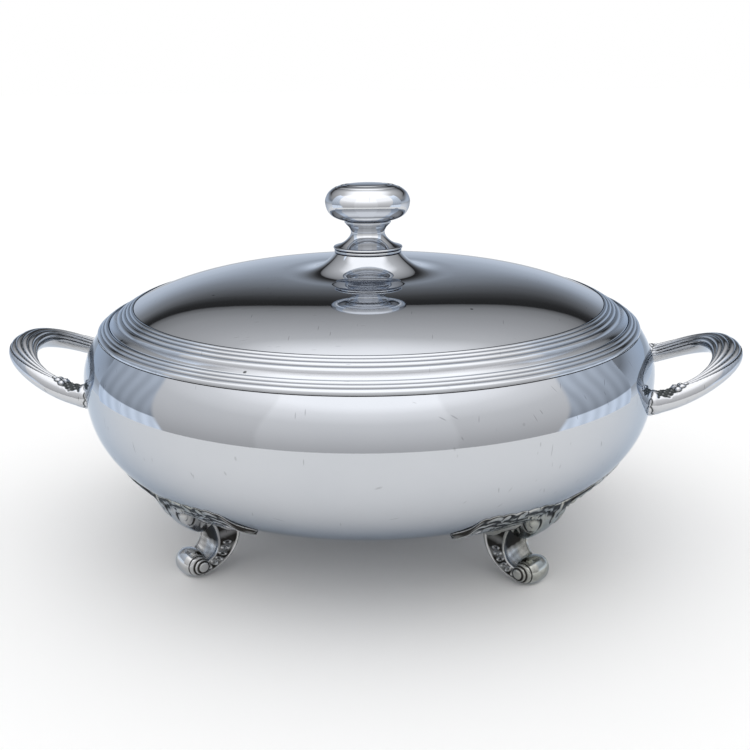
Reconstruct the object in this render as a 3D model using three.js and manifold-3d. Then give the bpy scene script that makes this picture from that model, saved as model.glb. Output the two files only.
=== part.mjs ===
// A round silver-plated casserole dish on four scroll feet, with two loop handles and a lift-off lid.
// Millimetres, +Z up. The origin is on the table under the middle of the dish, handles along X.

import * as THREE from 'three';
import { mergeVertices } from 'three/addons/utils/BufferGeometryUtils.js';
import Module from 'manifold-3d';

const wasm = await Module();
wasm.setup();

// Clearances shared by all pieces
const SEAT_GAP = 0.3;          // between two pieces that touch or are soldered together
const LID_GAP = 0.35;          // the dark line round the lid
const CUT_OVERRUN = 10;        // how far a cutting block runs past what it cuts

// Bowl
const BOWL_RADIUS = 114.8;     // at the widest place of the belly
const BOWL_LIFT = 17;          // from the table to the bottom of the bowl
const BOWL_DEPTH = 54.8;       // from the widest place down to the bottom
const BOWL_WALL = 1.2;
const SHOULDER_HEIGHT = 14.8;  // from the widest place up to the bowl's cut edge
const SHOULDER_RISE = 87.2;    // size of the curve that draws the shoulder in
const BELLY_SHARE = 2.78;      // squareness of the belly below the widest place
const SHOULDER_SHARE = 1.61;   // how late the shoulder curve starts to draw in
const BELLY_STEPS = 9;
const SHOULDER_STEPS = 3;

// Reeded mounts on both edges
const REED_CROWN_SHARE = 0.185; // how far a reed stands up, as a share of its width
const REED_CREST_SHARES = [1 / 3, 2 / 3];
const BOWL_REEDS_WIDTH = 5.85;  // across all the reeds, along their slope
const BOWL_REED_SHARES = [0.41, 0.27, 0.32];
const BOWL_REED_START_ANGLE = 50;
const BOWL_REED_END_ANGLE = 28;
const LEDGE_WIDTH = 5.5;       // of the ledge that carries the lid, inside the reeds
const LEDGE_THICKNESS = 1.4;
const LID_REEDS_WIDTH = 7.8;
const LID_REED_SHARES = [0.33, 0.25, 0.22, 0.2];
const LID_REED_START_ANGLE = 38;
const LID_REED_END_ANGLE = 26;
const LID_EDGE_HEIGHT = 2.1;   // the lid's upright edge inside the bowl's mount
const BAND_WIDTH = 3.1;        // the plain band outside the lid's reeds
const BAND_ANGLE = 24;
const MOUNT_DEPTH = 2.2;       // thickness of the lid's mount under its reeds
const DOME_OVERLAP = 2.6;      // how far the dome's edge lies over the mount

// Lid
const DOME_CROWN = 10.9;       // rise of the dome inside its mount
const DOME_POWER_SHARE = 4;    // flatness of the dome's middle
const DOME_WALL = 1.2;
const FLARE_FOOT_RADIUS = 35;  // where the trumpet leaves the dome
const FLARE_TOP_RADIUS = 13.4;
const FLARE_RISE = 7.55;
const FLARE_POWER_SHARE = 3.7;
const DOME_STEPS = 8;
const DOME_SPACING_SHARE = 0.7;   // closer points towards the dome's edge
const FLARE_STEPS = 5;
const FLARE_SPACING_SHARE = 1.2;  // closer points towards the trumpet's top
const BEZEL_DEPTH = 4.6;
const BEZEL_WALL = 1;
const BEZEL_CLEARANCE = 0.4;   // beside the ledge it drops through

// Knob
const COLLAR_RADIUS = 13.5;
const COLLAR_HEIGHT = 1.1;
const FLANGE_RADIUS = 13.9;
const FLANGE_EDGE = 0.9;
const NECK_RADIUS = 6.8;
const NECK_HEIGHT = 6.1;       // of the waist above the flange's underside
const NECK_RING_RADIUS = 9.2;
const NECK_RING_HEIGHT = 1.1;
const STEM_HEIGHT = 11.2;
const SKIRT_POWER_SHARE = 2.2; // how quickly the flange runs in to the neck
const SKIRT_SHARES = [0.25, 0.5, 0.75];
const THROAT_SHARES = [0.5, 0.85];
const BUN_RADIUS = 16.9;
const BUN_HEIGHT = 14.2;
const BUN_LOWER = 7;           // of the widest place above the grip's underside
const BUN_LOWER_SHARES = [[0.35, 0.06], [0.68, 0.24], [0.9, 0.56], [1, 1]];
const BUN_UPPER_SHARES = [[0.97, 0.3], [0.86, 0.58], [0.73, 0.76]];
const BUN_TOP_DISC = 8.6;
const BUN_RING = 10.2;
const RING_STEP = 0.35;
const STUD_RADIUS = 2.8;
const STUD_IN_STEM = 8;
const STUD_BELOW_NUT = 1.2;
const WASHER_RADIUS = 6.5;
const WASHER_THICKNESS = 1;
const NUT_RADIUS = 5.5;
const NUT_HEIGHT = 3;
const NUT_SIDES = 6;

// Handles
const HANDLE_HALF_SPREAD = 32;  // from the dish's middle line to each root
const HANDLE_DROP = 9.7;        // of the roots below the bowl's widest place
const HANDLE_RISE = 13.8;       // of the tip above the roots
const HANDLE_REACH = 36;        // from the roots to the middle of the tip
const HANDLE_SINK = 2.4;        // how far the centre line starts inside the bowl's round
const HANDLE_SPREAD_SHARE = 2.25;
const HANDLE_REACH_SHARE = 2.35;
const HANDLE_RISE_SHARE = 1.4;
const ROOT_HALF_WIDTH = 5;
const ARM_HALF_WIDTH = 3.9;
const TIP_HALF_WIDTH = 6.1;
const ROOT_HALF_HEIGHT = 4.6;
const ARM_HALF_HEIGHT = 3.8;
const TIP_HALF_HEIGHT = 4.4;
const HANDLE_REEDS = 5;
const HANDLE_REED_DEPTH = 0.45;
const HANDLE_REED_START_ANGLE = 20;   // degrees round the section, from the outer side over the top
const HANDLE_REED_END_ANGLE = 170;
const HANDLE_STEPS = 28;
const HANDLE_UNDERSIDE_STEPS = 7;

// Feet
const FOOT_AZIMUTH = 42.5;      // degrees from the handle axis
const FOOT_INSET = 27.2;        // of the middle of the roll inside the bowl's widest place
const ROLL_RADIUS = 5.2;
const ROLL_FLAT = 0.2;          // worn off the underside, where it stands
const ROLL_HALF_WIDTH = 7.3;
// Half of the roll: how far along from its middle, and its radius there
const ROLL_SHARES = [[0, 1], [0.3, 0.985], [0.52, 0.93], [0.65, 0.84], [0.69, 0.76], [0.83, 0.72],
  [0.86, 0.5], [0.93, 0.46], [0.95, 0.28], [1, 0.22]];
const LEG_HALF_WIDTH = 7;
const LEG_REACH = 19;           // inward from the middle of the roll
// The leg's outline: how far inward from the middle of the roll, and how high
const LEG_FRONT_SHARES = [[0.21, 0.28], [0.34, 0.38], [0.41, 0.48], [0.43, 0.6], [0.4, 0.73], [0.26, 1]];
const LEG_BACK_SHARES = [[1, 1], [0.95, 0.68], [0.885, 0.5], [0.825, 0.39], [0.715, 0.295],
  [0.58, 0.21], [0.44, 0.14], [0.28, 0.085], [0.12, 0.06]];

// Leaf brackets between the bowl and the feet
const LEAF_HALF_LENGTH = 39;     // round the dish, from the foot to each leaf tip
const LEAF_INSET = 9;           // of the spray's outer edge inside the bowl's widest place
const LEAF_WIDTH = 38.8;        // from its outer edge in to its inner edge
// Half of the spray: how far round, and where its inner and outer edges run between those radii
const LEAF_OUTLINE_SHARES = [[0, 0, 0.86], [0.1, 0, 0.875], [0.19, 0, 0.93], [0.3, 0, 0.965],
  [0.46, 0.185, 0.974], [0.63, 0.29, 0.987], [0.78, 0.4, 1], [0.88, 0.476, 0.97], [0.92, 0.53, 0.82],
  [1, 0.59, 0.66]];
const LEAF_EDGE = 0.6;
const LEAF_CROWN = 1;           // extra thickness along the middle of the leaves
const KNEE_DEPTH = 8.2;         // of the knee over the leg, below the leaves
const KNEE_HALF_WIDTH = 9;      // at its nose
const KNEE_LIP_HALF_WIDTH = 8;  // at its lip, over the leg
const KNEE_ROUND_SHARE = 0.8;
// Outward along the knee: the place between the leaf's radii, and the depth
const KNEE_SHARES = [[0, 0.4], [0.3, 0.58], [0.42, 0.9], [0.48, 1], [0.56, 0.93], [0.65, 0.76],
  [0.73, 0.48], [0.85, 0]];
const KNEE_LIP_SHARE = 0.48;
const KNEE_NOSE_SHARE = 0.7;

const TURN_STEPS = 48;
const KNOB_STEPS = 32;
const SMALL_STEPS = 20;
const ROLL_STEPS = 16;

const FULL_TURN = 360;          // degrees
const HALF_TURN = FULL_TURN / 2;
const QUARTER_TURN = FULL_TURN / 4;
const WELD_DISTANCE = 0.0001;   // points closer than this are one
const SLOPE_STEP = 0.025;       // to either side of where a slope is measured

// Places that follow from the sizes above
const BELLY_HEIGHT = BOWL_LIFT + BOWL_DEPTH;
const SHOULDER_TOP = BELLY_HEIGHT + SHOULDER_HEIGHT;
const MOUNT_BOTTOM = SHOULDER_TOP + SEAT_GAP;
const LEDGE_TOP = MOUNT_BOTTOM + LEDGE_THICKNESS;
const LID_BOTTOM = LEDGE_TOP + SEAT_GAP;
const FOOT_RADIUS = BOWL_RADIUS - FOOT_INSET;
const ROLL_CENTRE = ROLL_RADIUS - ROLL_FLAT;
const LEAF_OUTER_RADIUS = BOWL_RADIUS - LEAF_INSET;
const LEAF_INNER_RADIUS = LEAF_OUTER_RADIUS - LEAF_WIDTH;

const silver = (color, roughness) =>
  new THREE.MeshStandardMaterial({ color, roughness, metalness: 1 });
const MATERIALS = {
  body: silver(0xcdd0d6, 0.12),
  lid: silver(0xc6c9cf, 0.12),
  mounts: silver(0xc9ccd2, 0.16),
  knob: silver(0xcacdd2, 0.14),
  handles: silver(0xc4c6ca, 0.2),
  feet: silver(0xb9bab8, 0.26),
  fixings: new THREE.MeshStandardMaterial({ color: 0xb08d4a, roughness: 0.4, metalness: 1 }),
};

const radians = THREE.MathUtils.degToRad;
const dish = new THREE.Group();

// A closed profile of [radius, height] points, turned about the dish's axis
function turned(profile, steps) {
  const points = profile.map(([radius, height]) => new THREE.Vector2(radius, height));
  return new THREE.LatheGeometry(points, steps).rotateX(radians(QUARTER_TURN));
}

function ringProfile(points) {
  return [...points, points[0]];
}

function toSolid(geometry) {
  const bare = geometry.clone();
  bare.deleteAttribute('normal');
  bare.deleteAttribute('uv');
  const merged = mergeVertices(bare, WELD_DISTANCE);
  const index = merged.index.array;
  const kept = [];
  for (let i = 0; i < index.length; i += 3) {
    const [a, b, c] = [index[i], index[i + 1], index[i + 2]];
    if (a !== b && b !== c && c !== a) kept.push(a, b, c);
  }
  return new wasm.Manifold(new wasm.Mesh({
    numProp: 3,
    vertProperties: new Float32Array(merged.attributes.position.array),
    triVerts: new Uint32Array(kept),
  }));
}

function fromSolid(solid) {
  const mesh = solid.getMesh();
  const geometry = new THREE.BufferGeometry();
  geometry.setAttribute('position', new THREE.BufferAttribute(mesh.vertProperties, 3));
  geometry.setIndex(new THREE.BufferAttribute(mesh.triVerts, 1));
  geometry.computeVertexNormals();
  return geometry;
}

function addPiece(name, geometry, material) {
  const mesh = new THREE.Mesh(geometry, material);
  mesh.name = name;
  dish.add(mesh);
  return mesh;
}

// The bowl's outer radius at a height, above the widest place
function shoulderRadius(height) {
  return BOWL_RADIUS * (1 - ((height - BELLY_HEIGHT) / SHOULDER_RISE) ** SHOULDER_SHARE);
}

// The bowl's outer surface below the widest place, as a height at a radius
function bellyHeight(radius) {
  const share = Math.max(0, 1 - (radius / BOWL_RADIUS) ** BELLY_SHARE);
  return BELLY_HEIGHT - BOWL_DEPTH * share ** (1 / BELLY_SHARE);
}

// Outer or inner line of the bowl from the axis up to its edge, moved in by an inset
function bowlLine(inset, top) {
  const points = [];
  for (let i = BELLY_STEPS; i > 0; i -= 1) {
    const angle = radians(QUARTER_TURN * i / BELLY_STEPS);
    const radius = (BOWL_RADIUS - inset) * Math.max(0, Math.cos(angle)) ** (2 / BELLY_SHARE);
    const drop = (BOWL_DEPTH - inset) * Math.sin(angle) ** (2 / BELLY_SHARE);
    points.push([i === BELLY_STEPS ? 0 : radius, BELLY_HEIGHT - drop]);
  }
  for (let i = 0; i <= SHOULDER_STEPS; i += 1) {
    const height = BELLY_HEIGHT + (top - BELLY_HEIGHT) * i / SHOULDER_STEPS;
    points.push([shoulderRadius(height) - inset, height]);
  }
  return points;
}

function bowlShell() {
  const outer = bowlLine(0, SHOULDER_TOP);
  const inner = bowlLine(BOWL_WALL, SHOULDER_TOP).reverse();
  return turned([...outer, ...inner], TURN_STEPS);
}

// The bowl's filled outer form, grown by a gap, for cutting what is fixed to it
function bowlForm(growth) {
  const outer = bowlLine(-growth, SHOULDER_TOP);
  return toSolid(turned([...outer, [0, SHOULDER_TOP]], TURN_STEPS));
}

// A row of convex reeds, laid end to end while their slope turns from start to end
function reedRow(start, width, widthShares, startSlope, endSlope) {
  const points = [start];
  let [radius, height] = start;
  widthShares.forEach((widthShare, i) => {
    const reed = width * widthShare;
    const crown = reed * REED_CROWN_SHARE;
    const slope = radians(THREE.MathUtils.lerp(startSlope, endSlope, i / (widthShares.length - 1)));
    const along = [-Math.cos(slope) * reed, Math.sin(slope) * reed];
    const out = [Math.sin(slope) * crown, Math.cos(slope) * crown];
    for (const place of REED_CREST_SHARES) {
      points.push([radius + along[0] * place + out[0], height + along[1] * place + out[1]]);
    }
    radius += along[0];
    height += along[1];
    points.push([radius, height]);
  });
  return points;
}

const bowlReeds = reedRow([shoulderRadius(SHOULDER_TOP), MOUNT_BOTTOM], BOWL_REEDS_WIDTH, BOWL_REED_SHARES,
  BOWL_REED_START_ANGLE, BOWL_REED_END_ANGLE);
const [LIP_RADIUS] = bowlReeds[bowlReeds.length - 1];
const LEDGE_RADIUS = LIP_RADIUS - LEDGE_WIDTH;

function bowlMount() {
  return turned(ringProfile([
    ...bowlReeds,
    [LIP_RADIUS, LEDGE_TOP],
    [LEDGE_RADIUS, LEDGE_TOP],
    [LEDGE_RADIUS, MOUNT_BOTTOM],
  ]), TURN_STEPS);
}

// Lid mount: an upright edge, a plain sloping band, then the reeds up to the dome
const LID_RADIUS = LIP_RADIUS - LID_GAP;
const lidEdgeTop = [LID_RADIUS, LID_BOTTOM + LID_EDGE_HEIGHT];
const bandTop = [
  LID_RADIUS - BAND_WIDTH * Math.cos(radians(BAND_ANGLE)),
  lidEdgeTop[1] + BAND_WIDTH * Math.sin(radians(BAND_ANGLE)),
];
const lidReeds = reedRow(bandTop, LID_REEDS_WIDTH, LID_REED_SHARES, LID_REED_START_ANGLE,
  LID_REED_END_ANGLE);
const [MOUNT_INNER_RADIUS, MOUNT_INNER_HEIGHT] = lidReeds[lidReeds.length - 1];
const DOME_RADIUS = MOUNT_INNER_RADIUS - SEAT_GAP;
const DOME_EDGE = MOUNT_INNER_HEIGHT;
const BEZEL_RADIUS = LEDGE_RADIUS - BEZEL_CLEARANCE;

function domeHeight(radius) {
  return DOME_EDGE + DOME_CROWN * (1 - (radius / DOME_RADIUS) ** DOME_POWER_SHARE);
}

function lidMount() {
  const restRadius = MOUNT_INNER_RADIUS - DOME_OVERLAP;
  const rest = domeHeight(restRadius) - DOME_WALL - SEAT_GAP;
  return turned(ringProfile([
    [LID_RADIUS, LID_BOTTOM],
    lidEdgeTop,
    ...lidReeds,
    [MOUNT_INNER_RADIUS, domeHeight(MOUNT_INNER_RADIUS) - DOME_WALL - SEAT_GAP],
    [restRadius, rest],
    [restRadius, rest - MOUNT_DEPTH],
    [BEZEL_RADIUS - BEZEL_WALL, LID_BOTTOM + MOUNT_DEPTH],
    [BEZEL_RADIUS - BEZEL_WALL, LID_BOTTOM],
  ]), TURN_STEPS);
}

function bezel() {
  const top = LID_BOTTOM - SEAT_GAP;
  return turned(ringProfile([
    [BEZEL_RADIUS, top - BEZEL_DEPTH],
    [BEZEL_RADIUS, top],
    [BEZEL_RADIUS - BEZEL_WALL, top],
    [BEZEL_RADIUS - BEZEL_WALL, top - BEZEL_DEPTH],
  ]), TURN_STEPS);
}

// The dome with its trumpet, pierced for the knob's stud
const TABLE_HEIGHT = domeHeight(FLARE_FOOT_RADIUS) + FLARE_RISE;
const STUD_HOLE_RADIUS = STUD_RADIUS + SEAT_GAP;

function lidLine() {
  const points = [[FLARE_TOP_RADIUS, TABLE_HEIGHT]];
  for (let i = 1; i < FLARE_STEPS; i += 1) {
    const share = i / FLARE_STEPS;
    const radius = FLARE_TOP_RADIUS + (FLARE_FOOT_RADIUS - FLARE_TOP_RADIUS) * share ** FLARE_SPACING_SHARE;
    const climb = (FLARE_FOOT_RADIUS - radius) / (FLARE_FOOT_RADIUS - FLARE_TOP_RADIUS);
    points.push([radius, domeHeight(FLARE_FOOT_RADIUS) + FLARE_RISE * climb ** FLARE_POWER_SHARE]);
  }
  for (let i = 0; i <= DOME_STEPS; i += 1) {
    const share = (i / DOME_STEPS) ** DOME_SPACING_SHARE;
    const radius = FLARE_FOOT_RADIUS + (DOME_RADIUS - FLARE_FOOT_RADIUS) * share;
    points.push([radius, domeHeight(radius)]);
  }
  return points;
}

function lidDome() {
  const outer = lidLine();
  const inner = outer.map(([radius, height], i) => {
    const tight = i < FLARE_STEPS ? DOME_WALL * (1 - i / FLARE_STEPS) : 0;
    return [radius - tight, height - DOME_WALL];
  });
  return turned(ringProfile([
    ...inner.reverse(),
    [STUD_HOLE_RADIUS, TABLE_HEIGHT - DOME_WALL],
    [STUD_HOLE_RADIUS, TABLE_HEIGHT],
    ...outer,
  ].reverse()), TURN_STEPS);
}

// Knob, from the collar on the lid up to the grip
const COLLAR_BOTTOM = TABLE_HEIGHT + SEAT_GAP;
const STEM_BOTTOM = COLLAR_BOTTOM + COLLAR_HEIGHT + SEAT_GAP;
const BUN_BOTTOM = STEM_BOTTOM + STEM_HEIGHT + SEAT_GAP;

function collar() {
  return turned(ringProfile([
    [COLLAR_RADIUS, COLLAR_BOTTOM],
    [COLLAR_RADIUS, COLLAR_BOTTOM + COLLAR_HEIGHT],
    [STUD_HOLE_RADIUS, COLLAR_BOTTOM + COLLAR_HEIGHT],
    [STUD_HOLE_RADIUS, COLLAR_BOTTOM],
  ]), KNOB_STEPS);
}

function stem() {
  const bore = STEM_BOTTOM + STUD_IN_STEM + SEAT_GAP;
  const waist = STEM_BOTTOM + NECK_HEIGHT;
  const ringBottom = STEM_BOTTOM + STEM_HEIGHT - NECK_RING_HEIGHT;
  const points = [
    [0, bore],
    [STUD_HOLE_RADIUS, bore],
    [STUD_HOLE_RADIUS, STEM_BOTTOM],
    [FLANGE_RADIUS - FLANGE_EDGE / 2, STEM_BOTTOM],
    [FLANGE_RADIUS, STEM_BOTTOM + FLANGE_EDGE / 2],
    [FLANGE_RADIUS - FLANGE_EDGE / 2, STEM_BOTTOM + FLANGE_EDGE],
  ];
  const skirtBottom = STEM_BOTTOM + FLANGE_EDGE;
  for (const share of SKIRT_SHARES) {
    const spread = (FLANGE_RADIUS - FLANGE_EDGE - NECK_RADIUS) * (1 - share) ** SKIRT_POWER_SHARE;
    points.push([NECK_RADIUS + spread, skirtBottom + (waist - skirtBottom) * share]);
  }
  points.push([NECK_RADIUS, waist]);
  for (const share of THROAT_SHARES) {
    const spread = (NECK_RING_RADIUS - NECK_RADIUS) * share ** 2;
    points.push([NECK_RADIUS + spread, waist + (ringBottom - waist) * share]);
  }
  points.push(
    [NECK_RING_RADIUS, ringBottom + NECK_RING_HEIGHT / 3],
    [NECK_RING_RADIUS, ringBottom + NECK_RING_HEIGHT],
    [0, ringBottom + NECK_RING_HEIGHT],
  );
  return turned(points, KNOB_STEPS);
}

function bun() {
  const points = [[0, BUN_BOTTOM], [NECK_RING_RADIUS, BUN_BOTTOM]];
  const widest = BUN_BOTTOM + BUN_LOWER;
  for (const [out, up] of BUN_LOWER_SHARES) {
    points.push([NECK_RING_RADIUS + (BUN_RADIUS - NECK_RING_RADIUS) * out, BUN_BOTTOM + BUN_LOWER * up]);
  }
  const upper = BUN_HEIGHT - BUN_LOWER;
  for (const [out, up] of BUN_UPPER_SHARES) points.push([BUN_RADIUS * out, widest + upper * up]);
  const top = BUN_BOTTOM + BUN_HEIGHT;
  points.push(
    [BUN_RING, top - RING_STEP * 3],
    [BUN_RING - RING_STEP, top - RING_STEP * 2],
    [BUN_TOP_DISC + RING_STEP, top - RING_STEP * 2],
    [BUN_TOP_DISC, top - RING_STEP],
    [BUN_TOP_DISC / 2, top],
    [0, top],
  );
  return turned(points, KNOB_STEPS);
}

// Stud, washer and nut under the lid
const WASHER_TOP = TABLE_HEIGHT - DOME_WALL - SEAT_GAP;
const NUT_TOP = WASHER_TOP - WASHER_THICKNESS - SEAT_GAP;
const STUD_BOTTOM = NUT_TOP - NUT_HEIGHT - STUD_BELOW_NUT;

function stud() {
  const top = STEM_BOTTOM + STUD_IN_STEM;
  return turned([[0, STUD_BOTTOM], [STUD_RADIUS, STUD_BOTTOM], [STUD_RADIUS, top], [0, top]], SMALL_STEPS);
}

function ringBetween(inner, outer, bottom, top, steps) {
  return turned(ringProfile([[outer, bottom], [outer, top], [inner, top], [inner, bottom]]), steps);
}

function nut() {
  const shape = new THREE.Shape();
  for (let i = 0; i < NUT_SIDES; i += 1) {
    const angle = radians(FULL_TURN * i / NUT_SIDES);
    const place = [NUT_RADIUS * Math.cos(angle), NUT_RADIUS * Math.sin(angle)];
    if (i === 0) shape.moveTo(...place);
    else shape.lineTo(...place);
  }
  const hole = new THREE.Path();
  hole.absarc(0, 0, STUD_HOLE_RADIUS, 0, radians(FULL_TURN), true);
  shape.holes.push(hole);
  const settings = { depth: NUT_HEIGHT, bevelEnabled: false, curveSegments: SMALL_STEPS / 2 };
  return new THREE.ExtrudeGeometry(shape, settings).translate(0, 0, NUT_TOP - NUT_HEIGHT);
}

// Handles: a tube of changing section swept along a rounded loop
function blended(root, arm, tip, reach) {
  const rootShare = (1 - reach) * (1 - 2 * reach);
  const armShare = 4 * reach * (1 - reach);
  const tipShare = reach * (2 * reach - 1);
  return root * rootShare + arm * armShare + tip * tipShare;
}

const ROOT_X = Math.sqrt(BOWL_RADIUS ** 2 - HANDLE_HALF_SPREAD ** 2) - HANDLE_SINK;

function handleCentre(angle) {
  const reach = Math.max(0, Math.cos(angle));
  const side = Math.sin(angle);
  return new THREE.Vector3(
    ROOT_X + HANDLE_REACH * reach ** (2 / HANDLE_REACH_SHARE),
    HANDLE_HALF_SPREAD * Math.sign(side) * Math.abs(side) ** (2 / HANDLE_SPREAD_SHARE),
    BELLY_HEIGHT - HANDLE_DROP + HANDLE_RISE * reach ** HANDLE_RISE_SHARE,
  );
}

// Section points as [outward, up], reeded over the top and plain underneath
function handleSection(halfWidth, halfHeight, reedDepth) {
  const points = [];
  const span = HANDLE_REED_END_ANGLE - HANDLE_REED_START_ANGLE;
  const push = (degrees, depth) => points.push([
    (halfWidth - depth) * Math.cos(radians(degrees)),
    (halfHeight - depth) * Math.sin(radians(degrees)),
  ]);
  for (let i = 0; i < HANDLE_REEDS; i += 1) {
    const start = HANDLE_REED_START_ANGLE + span * i / HANDLE_REEDS;
    push(start, reedDepth);
    push(start + span / HANDLE_REEDS / 3, 0);
    push(start + 2 * span / HANDLE_REEDS / 3, 0);
  }
  push(HANDLE_REED_END_ANGLE, reedDepth);
  const rest = FULL_TURN - span;
  for (let i = 1; i < HANDLE_UNDERSIDE_STEPS; i += 1) {
    push(HANDLE_REED_END_ANGLE + rest * i / HANDLE_UNDERSIDE_STEPS, 0);
  }
  return points;
}

function handleLoop() {
  const angles = [];
  for (let i = 0; i <= HANDLE_STEPS; i += 1) {
    angles.push(radians(-QUARTER_TURN + HALF_TURN * i / HANDLE_STEPS));
  };
  const centres = angles.map(handleCentre);
  const inward = new THREE.Vector3(-ROOT_HALF_WIDTH, 0, 0);
  const rings = centres.map((centre, i) => {
    const before = centres[Math.max(0, i - 1)];
    const after = centres[Math.min(HANDLE_STEPS, i + 1)];
    const along = after.clone().sub(before).normalize();
    const flat = new THREE.Vector3(along.x, along.y, 0).normalize();
    const outward = new THREE.Vector3(flat.y, -flat.x, 0);
    const up = outward.clone().cross(along).normalize();
    if (up.z < 0) up.negate();
    const reach = Math.max(0, Math.cos(angles[i]));
    const section = handleSection(
      blended(ROOT_HALF_WIDTH, ARM_HALF_WIDTH, TIP_HALF_WIDTH, reach),
      blended(ROOT_HALF_HEIGHT, ARM_HALF_HEIGHT, TIP_HALF_HEIGHT, reach),
      HANDLE_REED_DEPTH,
    );
    return section.map(([out, high]) =>
      centre.clone().addScaledVector(outward, out).addScaledVector(up, high));
  });
  const first = rings[0].map((point) => point.clone().add(inward));
  const last = rings[rings.length - 1].map((point) => point.clone().add(inward));
  return tubeOfRings([first, ...rings, last]);
}

// Joins rings of points, in order along the tube, and closes both ends
function tubeOfRings(rings) {
  const positions = [];
  for (const ring of rings) for (const point of ring) positions.push(point.x, point.y, point.z);
  const size = rings[0].length;
  const faces = [];
  for (let i = 0; i + 1 < rings.length; i += 1) {
    for (let j = 0; j < size; j += 1) {
      const here = i * size + j;
      const beside = i * size + (j + 1) % size;
      faces.push(here, here + size, beside, beside, here + size, beside + size);
    }
  }
  for (const [ring, flip] of [[0, true], [rings.length - 1, false]]) {
    const middle = new THREE.Vector3();
    for (const point of rings[ring]) middle.addScaledVector(point, 1 / size);
    const centre = positions.length / 3;
    positions.push(middle.x, middle.y, middle.z);
    for (let j = 0; j < size; j += 1) {
      const a = ring * size + j;
      const b = ring * size + (j + 1) % size;
      if (flip) faces.push(centre, a, b);
      else faces.push(centre, b, a);
    }
  }
  const geometry = new THREE.BufferGeometry();
  geometry.setAttribute('position', new THREE.BufferAttribute(new Float32Array(positions), 3));
  geometry.setIndex(faces);
  return geometry;
}

// Feet, made in a frame whose X runs outward and whose origin is under the middle of the roll
function roll() {
  const right = ROLL_SHARES.map(([along, out]) => [out * ROLL_RADIUS, along * ROLL_HALF_WIDTH]);
  const left = right.slice(1).reverse().map(([out, along]) => [out, -along]);
  const profile = [[0, -ROLL_HALF_WIDTH], ...left, ...right, [0, ROLL_HALF_WIDTH]];
  const points = profile.map(([out, along]) => new THREE.Vector2(out, along));
  return new THREE.LatheGeometry(points, ROLL_STEPS).translate(0, 0, ROLL_CENTRE);
}

function leg() {
  const shape = new THREE.Shape();
  const places = [...LEG_FRONT_SHARES, ...LEG_BACK_SHARES];
  shape.moveTo(0, ROLL_CENTRE);
  const height = bellyHeight(FOOT_RADIUS - LEG_REACH);
  for (const [inward, up] of places) shape.lineTo(-LEG_REACH * inward, height * up);
  shape.closePath();
  const settings = { depth: LEG_HALF_WIDTH * 2, bevelEnabled: false };
  const geometry = new THREE.ExtrudeGeometry(shape, settings);
  return geometry.rotateX(radians(QUARTER_TURN)).translate(0, LEG_HALF_WIDTH, 0);
}

// The value at a place in a table of [place, value] pairs
function alongTable(table, place) {
  const last = table[table.length - 1];
  if (place >= last[0]) return last[1];
  const after = Math.max(1, table.findIndex(([start]) => start > place));
  const [from, low] = table[after - 1];
  const [to, high] = table[after];
  return THREE.MathUtils.mapLinear(place, from, to, low, high);
}

// How upright the belly's surface normal is at a radius, as a share of one
function slopeShare(radius) {
  const climb = (bellyHeight(radius + SLOPE_STEP) - bellyHeight(radius - SLOPE_STEP)) / (2 * SLOPE_STEP);
  return 1 / Math.sqrt(1 + climb ** 2);
}

// The knee's depth below the leaves, at a radius and a distance round from the foot
function kneeDepth(radius, around) {
  const place = (radius - LEAF_INNER_RADIUS) / (LEAF_OUTER_RADIUS - LEAF_INNER_RADIUS);
  const towardsNose = THREE.MathUtils.inverseLerp(KNEE_LIP_SHARE, KNEE_NOSE_SHARE, place);
  const widening = THREE.MathUtils.clamp(towardsNose, 0, 1);
  const halfWidth = THREE.MathUtils.lerp(KNEE_LIP_HALF_WIDTH, KNEE_HALF_WIDTH, widening);
  const across = Math.max(0, 1 - (around / halfWidth) ** 2) ** KNEE_ROUND_SHARE;
  return KNEE_DEPTH * alongTable(KNEE_SHARES, place) * across;
}

// Leaf bracket, grown by a gap and lifted into the bowl when it is used to cut the leg
function leafBracket(growth, lift) {
  const half = LEAF_OUTLINE_SHARES.slice(1);
  const outline = [...half.map(([round, ...edges]) => [-round, ...edges]).reverse(),
    ...LEAF_OUTLINE_SHARES];
  const middleShare = LEAF_OUTLINE_SHARES[0][2];
  const rows = [...KNEE_SHARES.map(([place]) => place / middleShare), 1];
  const band = LEAF_OUTER_RADIUS - LEAF_INNER_RADIUS;
  const upper = [];
  const lower = [];
  for (const [round, innerShare, outerShare] of outline) {
    const angle = (LEAF_HALF_LENGTH + growth) * round / FOOT_RADIUS;
    const inner = LEAF_INNER_RADIUS + band * innerShare - growth;
    const outer = LEAF_INNER_RADIUS + band * outerShare + growth;
    for (const row of rows) {
      const radius = inner + (outer - inner) * row;
      const surface = bellyHeight(radius) - SEAT_GAP / slopeShare(radius);
      const crown = LEAF_CROWN * 4 * row * (1 - row);
      const depth = LEAF_EDGE + crown + kneeDepth(radius, angle * radius) + growth;
      const place = [radius * Math.cos(angle), radius * Math.sin(angle)];
      upper.push([...place, surface + lift]);
      lower.push([...place, surface - depth]);
    }
  }
  return slabOfGrid(upper, lower, outline.length, rows.length);
}

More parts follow.
